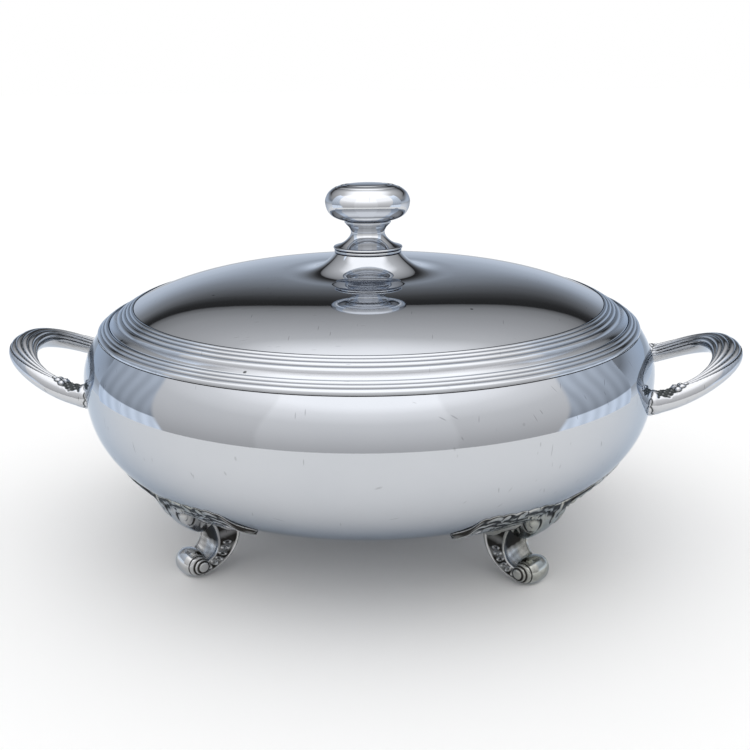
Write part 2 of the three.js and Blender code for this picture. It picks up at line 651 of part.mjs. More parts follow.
// Closes the space between two grids of points, the first of them above the second
function slabOfGrid(upper, lower, rows, columns) {
  const positions = [...upper, ...lower].flat();
  const under = rows * columns;
  const faces = [];
  const quad = (a, b, c, d) => faces.push(a, b, c, a, c, d);
  for (let i = 0; i + 1 < rows; i += 1) {
    for (let j = 0; j + 1 < columns; j += 1) {
      const a = i * columns + j;
      const b = a + 1;
      const c = a + columns + 1;
      const d = a + columns;
      quad(a, b, c, d);
      quad(under + d, under + c, under + b, under + a);
    }
  }
  const rim = [];
  for (let j = 0; j + 1 < columns; j += 1) rim.push([j, j + 1]);
  for (let i = 0; i + 1 < rows; i += 1) {
    rim.push([i * columns + columns - 1, (i + 1) * columns + columns - 1]);
    rim.push([(i + 1) * columns, i * columns]);
  }
  const lastRow = (rows - 1) * columns;
  for (let j = 0; j + 1 < columns; j += 1) rim.push([lastRow + j + 1, lastRow + j]);
  for (const [a, b] of rim) quad(b, a, under + a, under + b);
  const geometry = new THREE.BufferGeometry();
  geometry.setAttribute('position', new THREE.BufferAttribute(new Float32Array(positions), 3));
  geometry.setIndex(faces);
  return geometry;
}

function scrollFoot() {
  const below = new THREE.BoxGeometry(BOWL_RADIUS, BOWL_RADIUS, CUT_OVERRUN);
  below.translate(0, 0, -CUT_OVERRUN / 2);
  const bracketCut = toSolid(leafBracket(SEAT_GAP, CUT_OVERRUN).translate(-FOOT_RADIUS, 0, 0));
  const bowlCut = bowlForm(SEAT_GAP).translate([-FOOT_RADIUS, 0, 0]);
  return toSolid(leg()).add(toSolid(roll())).subtract(toSolid(below)).subtract(bracketCut)
    .subtract(bowlCut);
}

addPiece('bowl', bowlShell(), MATERIALS.body);
addPiece('bowl_rim_mount', bowlMount(), MATERIALS.mounts);
addPiece('lid_dome', lidDome(), MATERIALS.lid);
addPiece('lid_rim_mount', lidMount(), MATERIALS.mounts);
addPiece('lid_bezel', bezel(), MATERIALS.mounts);
addPiece('knob_collar', collar(), MATERIALS.knob);
addPiece('knob_stem', stem(), MATERIALS.knob);
addPiece('knob_bun', bun(), MATERIALS.knob);
addPiece('knob_stud', stud(), MATERIALS.fixings);
addPiece('knob_washer',
  ringBetween(STUD_HOLE_RADIUS, WASHER_RADIUS, WASHER_TOP - WASHER_THICKNESS, WASHER_TOP, SMALL_STEPS),
  MATERIALS.fixings);
addPiece('knob_nut', nut(), MATERIALS.fixings);

const handleSolid = toSolid(handleLoop()).subtract(bowlForm(SEAT_GAP));
for (const [side, turn] of [['right', 0], ['left', HALF_TURN]]) {
  const handle = addPiece(`handle_${side}`, fromSolid(handleSolid), MATERIALS.handles);
  handle.rotation.z = radians(turn);
}

const footSolid = scrollFoot();
const corners = [
  ['front_right', -FOOT_AZIMUTH],
  ['rear_right', FOOT_AZIMUTH],
  ['rear_left', HALF_TURN - FOOT_AZIMUTH],
  ['front_left', HALF_TURN + FOOT_AZIMUTH],
];
for (const [corner, azimuth] of corners) {
  const foot = addPiece(`scroll_foot_${corner}`,
    fromSolid(footSolid).translate(FOOT_RADIUS, 0, 0), MATERIALS.feet);
  foot.rotation.z = radians(azimuth);
  const bracket = addPiece(`leaf_bracket_${corner}`, leafBracket(0, 0), MATERIALS.feet);
  bracket.rotation.z = radians(azimuth);
}

export default dish;
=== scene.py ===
"""A polished silver-plated casserole dish on scroll feet, with loop handles and a lift-off lid.

Sizes are in millimetres until a mesh is made. X runs through the handles, -Y faces the viewer, and the
origin is on the table under the middle of the dish.
"""

import math

import bpy
import numpy as np
from mathutils import Matrix, Vector


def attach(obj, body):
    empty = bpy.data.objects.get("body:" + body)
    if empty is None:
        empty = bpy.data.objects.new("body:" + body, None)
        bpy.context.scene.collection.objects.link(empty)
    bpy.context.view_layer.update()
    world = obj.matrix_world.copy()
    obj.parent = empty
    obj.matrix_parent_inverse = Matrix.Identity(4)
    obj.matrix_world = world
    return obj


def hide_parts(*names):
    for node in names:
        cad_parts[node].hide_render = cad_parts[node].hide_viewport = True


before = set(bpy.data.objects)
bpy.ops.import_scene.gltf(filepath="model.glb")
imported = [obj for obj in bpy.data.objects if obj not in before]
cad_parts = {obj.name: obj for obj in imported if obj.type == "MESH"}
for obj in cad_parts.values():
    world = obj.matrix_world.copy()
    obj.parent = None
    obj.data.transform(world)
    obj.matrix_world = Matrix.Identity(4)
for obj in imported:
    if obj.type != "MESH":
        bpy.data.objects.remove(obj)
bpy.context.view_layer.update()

MM = 0.001

# Bowl
BOWL_RADIUS = 114.8
BELLY_HEIGHT = 71.8
BOWL_DEPTH = 54.8
BOWL_WALL = 1.2
SHOULDER_TOP = 86.6
SHOULDER_RISE = 87.2
BELLY_SHARE = 2.78
SHOULDER_SHARE = 1.61
SEAT_GAP = 0.3

# Reeded mounts
MOUNT_BOTTOM = SHOULDER_TOP + SEAT_GAP
REED_CROWN_SHARE = 0.236
REED_STEPS = 9
BOWL_REEDS_WIDTH = 5.85
BOWL_REED_SHARES = (0.41, 0.27, 0.32)
BOWL_REED_ANGLES = (50, 28)
LID_REEDS_WIDTH = 7.8
LID_REED_SHARES = (0.33, 0.25, 0.22, 0.2)
LID_REED_ANGLES = (38, 26)
LEDGE_WIDTH = 5.5
LEDGE_THICKNESS = 1.4
LEDGE_TOP = MOUNT_BOTTOM + LEDGE_THICKNESS
# Inset and drop of the lip where it turns down from the last reed
LIP_LINE = ((0, 0.02), (0.12, 0.3), (0, 0.8))
LID_GAP = 0.35
LID_BOTTOM = LEDGE_TOP + SEAT_GAP
LID_EDGE_HEIGHT = 2.1
LID_EDGE_STEPS = 5
BAND_WIDTH = 3.1
BAND_ANGLE = 24
BEZEL_CLEARANCE = 0.4
BEZEL_WALL = 1.0
BEZEL_DEPTH = 4.6
MOUNT_DEPTH = 2.2

# Lid
DOME_CROWN = 10.9
DOME_POWER_SHARE = 4
DOME_WALL = 1.2
DOME_OVERLAP = 2.6
FLARE_FOOT_RADIUS = 35.0
FLARE_TOP_RADIUS = 13.4
FLARE_RISE = 7.55
FLARE_POWER_SHARE = 3.7

# Knob: each line is a row of radii and heights above the foot of its piece
COLLAR_RADIUS = 13.5
COLLAR_HEIGHT = 1.1
STEM_HEIGHT = 11.2
STEM_BORE_DEPTH = 8.3
STEM_EDGE = ((13.2, 0), (13.75, 0.15), (13.9, 0.5), (13.7, 0.85), (13.2, 1))
STEM_SKIRT = ((13, 1), (11, 1.75), (9.3, 2.75), (8, 3.95), (7.15, 5.15), (6.8, 6.2), (6.95, 7.3),
              (7.6, 8.5), (8.4, 9.35), (8.85, 9.8))
STEM_RING = ((8.75, 9.95), (9.15, 10.15), (9.3, 10.6), (9.15, 11.05), (8.8, STEM_HEIGHT))
BUN_HEIGHT = 14.2
BUN_BELLY = ((9.2, 0), (11.7, 0.35), (14.5, 1.75), (16.2, 3.95), (16.9, 6.6), (16.75, 8.5), (15.7, 10.6),
             (14.2, 12), (12.9, 12.75))
BUN_RINGS = (((12.9, 12.75), (12.72, 12.55), (12.5, 12.72), (11.7, 13.2), (10.5, 13.55)),
             ((10.5, 13.55), (10.3, 13.33), (10.1, 13.45), (9.6, 13.62), (8.95, 13.68)),
             ((8.95, 13.68), (8.72, 13.45), (8.45, 13.62), (7.6, 13.95), (5.2, 14.1), (2.5, 14.18),
              (0, BUN_HEIGHT)))
STUD_RADIUS = 2.8
STUD_HOLE = STUD_RADIUS + SEAT_GAP
STUD_REACH = 8.0
STUD_END = 1.2
SHANK_RADIUS = STUD_RADIUS - 0.1
SHANK_CHAMFER = 0.3
THREAD_PITCH = 0.7
THREAD_DEPTH = 0.35
THREAD_RUNOUT = 0.4
WASHER_RADIUS = 6.5
WASHER_THICKNESS = 1.0
NUT_HEIGHT = 3.0
NUT_RADIUS = 5.5
NUT_FACE_RADIUS = 4.95
NUT_CHAMFER = 0.5
NUT_BORE = STUD_HOLE - 0.1
NUT_BORE_CHAMFER = 0.3
NUT_STEPS = 72

# Handles
HANDLE_HALF_SPREAD = 32.0
ROOT_HEIGHT = BELLY_HEIGHT - 9.7
HANDLE_RISE = 13.8
HANDLE_REACH = 35.85
HANDLE_SINK = 2.4
HANDLE_SPREAD_SHARE = 2.25
HANDLE_REACH_SHARE = 2.35
HANDLE_RISE_SHARE = 1.4
HANDLE_HALF_WIDTHS = (5.0, 3.9, 6.05)
HANDLE_HALF_HEIGHTS = (4.6, 3.8, 4.4)
HANDLE_REEDS = 5

# Feet
FOOT_AZIMUTH = 42.5
FOOT_RADIUS = 87.6
ROLL_CENTRE = 5.0
LEAF_OUTER_RADIUS = 105.8
LEAF_INNER_RADIUS = 67.0
LEAF_HALF_LENGTH = 39.0
CORNERS = {"front_right": -FOOT_AZIMUTH, "rear_right": FOOT_AZIMUTH,
           "rear_left": 180 - FOOT_AZIMUTH, "front_left": 180 + FOOT_AZIMUTH}

CAST_CREASE = 50
LEG_CREASE = 45
TURN_STEPS = 288
KNOB_STEPS = 160
CORNER_STEPS = 4
CORNER_SHARE = 0.45


# Meshes

def full_turn(steps):
    return np.linspace(0, 2 * np.pi, steps, endpoint=False)


def grid_faces(rows, columns, wrap_rows=False, wrap_columns=False):
    """Quads of a grid of points, numbered row by row."""
    i = np.arange(rows if wrap_rows else rows - 1)
    j = np.arange(columns if wrap_columns else columns - 1)
    i, j = np.meshgrid(i, j, indexing="ij")
    below = (i + 1) % rows
    beside = (j + 1) % columns
    quads = [i * columns + j, i * columns + beside, below * columns + beside, below * columns + j]
    return np.stack(quads, -1).reshape(-1, 4)


def closed_tube(points, hollow):
    """A grid that wraps round its columns, with a fan over each end and all faces facing out."""
    rows, columns = hollow.shape
    faces = grid_faces(rows, columns, wrap_columns=True)[:, ::-1].tolist()
    flat = points.reshape(-1, 3)
    for row, first in ((0, True), (rows - 1, False)):
        middle = len(flat)
        flat = np.vstack([flat, points[row].mean(0)[None]])
        for j in range(columns):
            a, b = row * columns + j, row * columns + (j + 1) % columns
            faces.append([middle, a, b] if first else [middle, b, a])
    return flat, faces, np.concatenate([hollow.reshape(-1), [0, 0]])


def turned(profile, steps):
    """Points and faces of a closed [radius, height] outline turned about the Z axis."""
    profile = np.asarray(profile, float)
    angle = full_turn(steps)
    on_axis = np.isclose(profile[[0, -1], 0], 0)
    ring = profile[int(on_axis[0]):len(profile) - int(on_axis[1])]
    radius, height = ring[:, 0][:, None], ring[:, 1][:, None]
    points = np.stack([radius * np.cos(angle), radius * np.sin(angle), height + 0 * angle], -1).reshape(-1, 3)
    faces = grid_faces(len(ring), steps, wrap_rows=not any(on_axis), wrap_columns=True).tolist()
    for end, first in ((0, 0), (1, (len(ring) - 1) * steps)):
        if not on_axis[end]:
            continue
        pole = len(points)
        points = np.vstack([points, [[0, 0, profile[-end, 1]]]])
        for j in range(steps):
            here, beside = first + j, first + (j + 1) % steps
            faces.append([pole, beside, here] if end == 0 else [pole, here, beside])
    return points, faces


def placed(name, data):
    made = bpy.data.objects.new(name, data)
    bpy.context.scene.collection.objects.link(made)
    return made


def mesh_piece(name, points, faces, material):
    """One smooth-shaded mesh from points in metres."""
    mesh = bpy.data.meshes.new(name)
    mesh.from_pydata(points.reshape(-1, 3).tolist(), [], faces)
    mesh.validate()
    mesh.shade_smooth()
    mesh.materials.append(material)
    return placed(name, mesh)


def make_piece(name, points, faces, hollow, slot, body, replaced, crease):
    """A piece that rides on a body in place of a CAD node."""
    piece = mesh_piece(name, points * MM, faces, MATERIALS[slot])
    piece.data.set_sharp_from_angle(angle=math.radians(crease))
    attribute = piece.data.attributes.new("hollow", "FLOAT", "POINT")
    attribute.data.foreach_set("value", hollow.astype(np.float32))
    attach(piece, body)
    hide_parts(replaced)


# Lines

def spline(points, per_span):
    p = np.asarray(points, float)
    padded = np.vstack([2 * p[0] - p[1], p, 2 * p[-1] - p[-2]])
    line = []
    for i in range(len(p) - 1):
        a, b, c, d = padded[i:i + 4]
        for t in np.linspace(0, 1, per_span, endpoint=False):
            line.append(0.5 * (2 * b + (c - a) * t + (2 * a - 5 * b + 4 * c - d) * t * t
                               + (3 * b - a - 3 * c + d) * t ** 3))
    line.append(p[-1])
    return np.array(line)


def path_length(line):
    return np.concatenate([[0], np.cumsum(np.linalg.norm(np.diff(line, axis=0), axis=1))])


def at_places(places, known, line):
    return np.stack([np.interp(places, known, column) for column in np.transpose(line)], -1)


def evened(line, spacing, spread=0.0):
    """The same line at an even spacing, and rounded off over a distance."""
    line = np.asarray(line, float)
    length = path_length(line)
    count = max(3, int(round(length[-1] / spacing)) + 1)
    out = at_places(np.linspace(0, length[-1], count), length, line)
    if spread <= 0:
        return out
    reach = int(math.ceil(3 * spread / spacing))
    kernel = np.exp(-0.5 * (np.arange(-reach, reach + 1) * spacing / spread) ** 2)
    kernel /= kernel.sum()
    head = 2 * out[0] - out[reach:0:-1]
    tail = 2 * out[-1] - out[-2:-reach - 2:-1]
    padded = np.vstack([head, out, tail])
    return np.stack([np.convolve(padded[:, k], kernel, mode="valid") for k in range(out.shape[1])], -1)


def rounded(corners, radius, steps=CORNER_STEPS):
    c = np.asarray(corners, float)
    out = []
    for i in range(len(c)):
        before, here, after = c[i - 1], c[i], c[(i + 1) % len(c)]
        back, on = before - here, after - here
        cut = min(radius, CORNER_SHARE * np.linalg.norm(back), CORNER_SHARE * np.linalg.norm(on))
        a = here + back / np.linalg.norm(back) * cut
        b = here + on / np.linalg.norm(on) * cut
        for t in np.linspace(0, 1, steps):
            out.append((1 - t) ** 2 * a + 2 * t * (1 - t) * here + t * t * b)
    return np.array(out)


def flat_ring(outer, inner, bottom, top, edge, steps):
    """A turned ring of rectangular section with rounded edges."""
    return turned(rounded([[outer, bottom], [outer, top], [inner, top], [inner, bottom]], edge), steps)


def level(table, place):
    places, values = zip(*table)
    return np.interp(place, places, values)


def ease(low, high, value):
    t = np.clip((value - low) / (high - low), 0, 1)
    return t * t * (3 - 2 * t)


def dome_bump(away):
    return np.sqrt(np.clip(1 - away ** 2, 0, 1))


def bell(away, middle, width):
    return np.exp(-((away - middle) / width) ** 2)


def blended(values, reach):
    root, arm, tip = values
    ends = root * (1 - reach) * (1 - 2 * reach) + tip * reach * (2 * reach - 1)
    return ends + arm * 4 * reach * (1 - reach)


def under_bead(hollow, away, clean, shadow, width):
    """Dirt and shade cleared on a bead, with a painted shadow ring round it."""
    return np.maximum(hollow * (1 - ease(clean, 1.0, away)), bell(away, shadow, width))


# Bowl and its mount

def belly_height(radius):
    share = np.maximum(0, 1 - (np.asarray(radius, float) / BOWL_RADIUS) ** BELLY_SHARE)
    return BELLY_HEIGHT - BOWL_DEPTH * share ** (1 / BELLY_SHARE)


def shoulder_radius(height):
    share = np.maximum(0, height - BELLY_HEIGHT) / SHOULDER_RISE
    return BOWL_RADIUS * (1 - share ** SHOULDER_SHARE)


def bowl_outer():
    """The outside, from the middle up to the mount."""
    angle = np.linspace(np.pi / 2, 0, num=200)
    radius = BOWL_RADIUS * np.abs(np.cos(angle)) ** (2 / BELLY_SHARE)
    drop = BOWL_DEPTH * np.sin(angle) ** (2 / BELLY_SHARE)
    belly = np.stack([radius, BELLY_HEIGHT - drop], -1)
    belly[0, 0] = 0
    height = np.linspace(BELLY_HEIGHT, SHOULDER_TOP, num=40)[1:]
    shoulder = np.stack([shoulder_radius(height), height], -1)
    line = evened(np.vstack([belly, shoulder]), spacing=1.2, spread=3.0)
    line[:, 0] = np.minimum(line[:, 0], BOWL_RADIUS)
    return line


BOWL_LINE = bowl_outer()


def bowl_shell():
    along = np.gradient(BOWL_LINE, axis=0)
    along /= np.linalg.norm(along, axis=1, keepdims=True)
    inner = BOWL_LINE + np.stack([-along[:, 1], along[:, 0]], -1) * BOWL_WALL
    inner[0, 0] = 0
    top = BOWL_LINE[-1, 1]
    inner = inner[inner[:, 1] < top - SEAT_GAP]
    outline = np.vstack([BOWL_LINE, [[inner[-1, 0], top]], inner[::-1]])
    return turned(outline, TURN_STEPS)


def reed_line(start, width, width_shares, angles):
    """A row of round reeds laid end to end while their slope turns."""
    line = [np.array(start, float)]
    for i, width_share in enumerate(width_shares):
        reed = width * width_share
        slope = math.radians(np.interp(i, [0, len(width_shares) - 1], angles))
        along = np.array([-math.cos(slope), math.sin(slope)]) * reed
        out = np.array([math.sin(slope), math.cos(slope)]) * reed * REED_CROWN_SHARE
        base = line[-1]
        for t in np.linspace(0, 1, REED_STEPS + 1)[1:]:
            line.append(base + along * t + out * (1 - (2 * t - 1) ** 2))
    return np.array(line)


BOWL_REED_LINE = reed_line([float(shoulder_radius(SHOULDER_TOP)), MOUNT_BOTTOM], BOWL_REEDS_WIDTH,
                           BOWL_REED_SHARES, BOWL_REED_ANGLES)
LIP_RADIUS, LIP_TOP = BOWL_REED_LINE[-1]
LEDGE_RADIUS = LIP_RADIUS - LEDGE_WIDTH
LID_RADIUS = LIP_RADIUS - LID_GAP
LID_EDGE_TOP = np.array([LID_RADIUS, LID_BOTTOM + LID_EDGE_HEIGHT])
BAND_TOP = LID_EDGE_TOP + BAND_WIDTH * np.array([-math.cos(math.radians(BAND_ANGLE)),
                                                 math.sin(math.radians(BAND_ANGLE))])
LID_REED_LINE = reed_line(BAND_TOP, LID_REEDS_WIDTH, LID_REED_SHARES, LID_REED_ANGLES)
MOUNT_INNER_RADIUS, DOME_EDGE = LID_REED_LINE[-1]
DOME_RADIUS = MOUNT_INNER_RADIUS - SEAT_GAP
BEZEL_RADIUS = LEDGE_RADIUS - BEZEL_CLEARANCE
BEZEL_BORE = BEZEL_RADIUS - BEZEL_WALL
BEZEL_TOP = LID_BOTTOM - SEAT_GAP


def bowl_mount():
    """The reeds, the lip inside them, and the ledge that carries the lid."""
    corners = [[LIP_RADIUS, LEDGE_TOP], [LEDGE_RADIUS, LEDGE_TOP], [LEDGE_RADIUS, MOUNT_BOTTOM]]
    ledge = rounded(corners, radius=0.35)[CORNER_STEPS:2 * CORNER_STEPS]
    lip = spline([[LIP_RADIUS - inset, LIP_TOP - drop] for inset, drop in LIP_LINE], per_span=3)
    return turned(np.vstack([BOWL_REED_LINE, lip, corners[:1], ledge, corners[-1:]]), TURN_STEPS)


# Lid and its mount

def dome_height(radius):
    return DOME_EDGE + DOME_CROWN * (1 - (np.asarray(radius) / DOME_RADIUS) ** DOME_POWER_SHARE)


def seat_height(radius):
    return float(dome_height(radius)) - DOME_WALL - SEAT_GAP


def flare_share(radius):
    return (FLARE_FOOT_RADIUS - radius) / (FLARE_FOOT_RADIUS - FLARE_TOP_RADIUS)


FLARE_FOOT_HEIGHT = float(dome_height(FLARE_FOOT_RADIUS))
TABLE_HEIGHT = FLARE_FOOT_HEIGHT + FLARE_RISE


def lid_line():
    """The top of the lid, from the knob's table down the flare and over the dome."""
    radius = np.linspace(FLARE_TOP_RADIUS, FLARE_FOOT_RADIUS, num=40)
    rise = FLARE_RISE * flare_share(radius) ** FLARE_POWER_SHARE
    flare = np.stack([radius, FLARE_FOOT_HEIGHT + rise], -1)
    radius = np.linspace(FLARE_FOOT_RADIUS, DOME_RADIUS, num=120)[1:]
    dome = np.stack([radius, dome_height(radius)], -1)
    return evened(np.vstack([flare, dome]), spacing=0.8, spread=1.6)


def lid_dome():
    """The dome; inside the flare its wall is moved sideways too."""
    outer = lid_line()
    inner = outer - [0, DOME_WALL]
    table = [[STUD_HOLE, TABLE_HEIGHT], [STUD_HOLE, TABLE_HEIGHT - DOME_WALL]]
    tight = np.clip(flare_share(inner[:, 0]), 0, 1)
    inner = inner - np.stack([DOME_WALL * tight, 0 * tight], -1)
    return turned(np.vstack([outer[::-1], table, inner]), TURN_STEPS)


def lid_mount():
    """The lid's edge and band, its reeds, and the seat for the dome."""
    corners = [[LID_RADIUS - MOUNT_DEPTH, LID_BOTTOM], [LID_RADIUS, LID_BOTTOM], LID_EDGE_TOP, BAND_TOP]
    edge = rounded(corners, radius=0.4, steps=LID_EDGE_STEPS)[LID_EDGE_STEPS:3 * LID_EDGE_STEPS]
    rest_radius = MOUNT_INNER_RADIUS - DOME_OVERLAP
    rest = seat_height(rest_radius)
    below = [[MOUNT_INNER_RADIUS, seat_height(MOUNT_INNER_RADIUS)], [rest_radius, rest],
             [rest_radius, rest - MOUNT_DEPTH], [BEZEL_BORE, LID_BOTTOM + MOUNT_DEPTH],
             [BEZEL_BORE, LID_BOTTOM]]
    return turned(np.vstack([edge, LID_REED_LINE, below]), TURN_STEPS)


# Knob and its fixings

COLLAR_BOTTOM = TABLE_HEIGHT + SEAT_GAP
COLLAR_TOP = COLLAR_BOTTOM + COLLAR_HEIGHT
STEM_BOTTOM = COLLAR_TOP + SEAT_GAP
BUN_BOTTOM = STEM_BOTTOM + STEM_HEIGHT + SEAT_GAP
WASHER_TOP = TABLE_HEIGHT - DOME_WALL - SEAT_GAP
WASHER_BOTTOM = WASHER_TOP - WASHER_THICKNESS
NUT_TOP = WASHER_BOTTOM - SEAT_GAP
NUT_BOTTOM = NUT_TOP - NUT_HEIGHT
STUD_BOTTOM = NUT_BOTTOM - STUD_END


def stem():
    """The flange, the neck and the thin ring, with a blind bore for the stud."""
    bore = [[0, STEM_BORE_DEPTH], [STUD_HOLE, STEM_BORE_DEPTH], [STUD_HOLE, 0]]
    sides = [spline(line, steps) for line, steps in ((STEM_EDGE, 4), (STEM_SKIRT, 7), (STEM_RING, 4))]
    return turned(np.vstack([bore, *sides, [0, STEM_HEIGHT]]) + [0, STEM_BOTTOM], KNOB_STEPS)


def bun():
    """The flattened grip, with three turned rings on its top."""
    parts = [spline(line, steps)[1:] for line, steps in zip((BUN_BELLY, *BUN_RINGS), (8, 4, 4, 5))]
    return turned(np.vstack([[0, 0], BUN_BELLY[0], *parts]) + [0, BUN_BOTTOM], KNOB_STEPS)


def stud():
    """A stud with a cut thread on its lower end."""
    top = STEM_BOTTOM + STUD_REACH
    line = [[0, STUD_BOTTOM], [STUD_RADIUS - 2 * THREAD_DEPTH, STUD_BOTTOM]]
    height = STUD_BOTTOM + THREAD_PITCH / 2
    while height < NUT_TOP - THREAD_RUNOUT:
        line += [[STUD_RADIUS - THREAD_DEPTH, height], [STUD_RADIUS, height + THREAD_PITCH / 2]]
        height += THREAD_PITCH
    line += [[SHANK_RADIUS, height], [SHANK_RADIUS, top - SHANK_CHAMFER], [SHANK_RADIUS - SHANK_CHAMFER, top],
             [0, top]]
    return turned(line, steps=48)


def nut():
    """A six-sided nut with turned-down corners and a bore."""
    angle = full_turn(NUT_STEPS)
    half_side = math.pi / 6
    flat = NUT_RADIUS * math.cos(half_side) / np.cos((angle + half_side) % (2 * half_side) - half_side)
    face = np.minimum(flat, NUT_FACE_RADIUS)
    bore = np.full(NUT_STEPS, NUT_BORE)
    mouth = bore + NUT_BORE_CHAMFER
    rows = [(mouth, NUT_BOTTOM), (face, NUT_BOTTOM), (flat, NUT_BOTTOM + NUT_CHAMFER),
            (flat, NUT_TOP - NUT_CHAMFER), (face, NUT_TOP), (mouth, NUT_TOP),
            (bore, NUT_TOP - NUT_BORE_CHAMFER), (bore, NUT_BOTTOM + NUT_BORE_CHAMFER)]
    points = [[r * math.cos(a), r * math.sin(a), z] for radius, z in rows for r, a in zip(radius, angle)]
    return np.array(points), grid_faces(len(rows), NUT_STEPS, True, True).tolist()


# Handles: distances are from the root, and angles go round the section from its outer side over the top

HANDLE_STATIONS = 300
SECTION_STEPS = 144
REEDS_START = 78
REEDS_CROWDING = 54
REEDS_END = 176.0
REEDS_EDGE_SHARE = 0.02
GROOVE_DEPTH = 0.75
FLARE_BEAD_HEIGHT = 0.3
ROOT_LEAF_DEPTH = 0.35
# Distance from the root, degrees round the section, size and height of each bead
HANDLE_BEADS = [(12.3, 66, 1.2, 0.8), (12, 96, 1.4, 0.9), (14.6, 80, 1.2, 0.7), (14.5, 106, 1.2, 0.8),
                (16.6, 92, 0.9, 0.5), (11.8, 128, 1.3, 0.8), (14.2, 134, 1.1, 0.6)]
HANDLE_BEAD_SHADOW = (1.1, 1.18, 0.2)
# Length, swing and tooth of the leaf tips at the root
TIP_LENGTHS = (1.9, 1.5, 0.6)
TIP_HEIGHT = 0.35
ROOT_SINK = 0.3
ROOT_STATION_STEP = 0.012


def handle_centres():
    """The loop's middle line with its share of the reach, and the distance along it."""
    angle = np.linspace(-np.pi / 2, np.pi / 2, num=2001)
    reach = np.maximum(0, np.cos(angle))
    side = np.sin(angle)
    root = math.sqrt(BOWL_RADIUS ** 2 - HANDLE_HALF_SPREAD ** 2) - HANDLE_SINK
    line = np.stack([root + HANDLE_REACH * reach ** (2 / HANDLE_REACH_SHARE),
                     HANDLE_HALF_SPREAD * np.sign(side) * np.abs(side) ** (2 / HANDLE_SPREAD_SHARE),
                     ROOT_HEIGHT + HANDLE_RISE * reach ** HANDLE_RISE_SHARE, reach], -1)
    length = path_length(line[:, :3])
    even = np.linspace(0, length[-1], HANDLE_STATIONS)
    return at_places(even, length, line), even


def handle_axes(centres):
    tangent = np.gradient(centres, axis=0)
    tangent /= np.linalg.norm(tangent, axis=1, keepdims=True)
    flat = tangent * [1, 1, 0]
    flat /= np.linalg.norm(flat, axis=1, keepdims=True)
    outward = np.stack([flat[:, 1], -flat[:, 0], 0 * flat[:, 0]], -1)
    up = np.cross(outward, tangent)
    up *= np.sign(up[:, 2:3])
    return outward[:, None], up[:, None]


def handle_reeds(distance, degrees):
    """Depth of the reeds, which crowd together towards the roots, and dirt with painted shade in their
    grooves.
    """
    start = REEDS_START - REEDS_CROWDING * ease(10, 50, distance)
    share = (degrees - start) / (REEDS_END - start)
    zone = ease(-REEDS_EDGE_SHARE, 0.0, share) * ease(1 + REEDS_EDGE_SHARE, 1.0, share)
    zone = zone * ease(14, 18, distance)
    wave = np.abs(np.sin(np.pi * HANDLE_REEDS * np.clip(share, 0, 1)))
    return GROOVE_DEPTH * (1 - wave ** 0.7) * zone, (1 - wave ** 0.5) * zone


def root_leaf(distance, degrees):
    """Height of a thin flare at the bowl and of a leaf on the inner side, with painted shade over the leaf.
    """
    turn = np.radians(degrees)
    lumps = np.sin(distance * 2.3 + turn * 3) * np.sin(turn * 11)
    start = 30 + 7 * np.sin(distance * 1.4) + 5 * lumps
    zone = ease(start, start + 14, degrees) * ease(196, 176, degrees)
    zone = zone * ease(3.4, 4.4, distance) * ease(12.0, 10.6, distance)
    bulge = FLARE_BEAD_HEIGHT * bell(distance, 3.0, 1.6) + ROOT_LEAF_DEPTH * (lumps - 1) * zone
    return bulge, zone * (0.85 - 0.3 * lumps)


def leaf_tips(distance, degrees):
    """Height of the small leaf tips cut into the edge of the root, with a painted shadow line round them."""
    turn = np.radians(degrees)
    length, swing, tooth = TIP_LENGTHS
    tips = length - swing * np.cos(turn) + tooth * np.abs(np.sin(turn * 4.5))
    return TIP_HEIGHT * ease(tips + 0.2, tips - 0.3, distance), bell(distance, tips + 0.35, 0.3)


def closed_on_bowl(points):
    surface = np.interp(points[..., 2], BOWL_LINE[:, 1], BOWL_LINE[:, 0])
    wall = np.sqrt(np.maximum(surface ** 2 - points[..., 1] ** 2, 0))
    station = np.arange(HANDLE_STATIONS)
    from_end = np.minimum(station, station[::-1])[:, None]
    points[..., 0] = np.maximum(points[..., 0], wall - ROOT_SINK + ROOT_STATION_STEP * from_end)
    return points


def handle():
    """A loop of changing section: reeds, beads where they start, and moulded roots."""
    centres, along = handle_centres()
    outward, up = handle_axes(centres[:, :3])
    reach = centres[:, 3:]
    distance = np.minimum(along, along[-1] - along)[:, None]
    half_width = blended(HANDLE_HALF_WIDTHS, reach)
    half_height = blended(HANDLE_HALF_HEIGHTS, reach)
    degrees = np.linspace(0, 360, SECTION_STEPS, endpoint=False)[None, :]
    turn = np.radians(degrees)
    # dirt and painted shade in the reed grooves, and painted shade over the root leaf
    groove, reed_grime_and_shade = handle_reeds(distance, degrees)
    bulge, leaf_shade = root_leaf(distance, degrees)
    hollow = np.maximum(reed_grime_and_shade, leaf_shade)
    for place, middle, size, height in HANDLE_BEADS:
        away = np.hypot(distance - place, np.radians(degrees - middle) * half_width) / size
        bulge = bulge + height * dome_bump(away)
        hollow = under_bead(hollow, away, *HANDLE_BEAD_SHADOW)
    # painted shadow line round the leaf tips
    tip_bulge, tip_shadow = leaf_tips(distance, degrees)
    relief = bulge + tip_bulge - groove
    hollow = np.clip(np.maximum(hollow, tip_shadow), 0, 1)
    across = ((half_width + relief) * np.cos(turn))[..., None]
    high = ((half_height + relief) * np.sin(turn))[..., None]
    points = centres[:, None, :3] + outward * across + up * high
    return closed_tube(closed_on_bowl(points), hollow)


# Feet, made in a frame whose X runs outward from the dish's axis

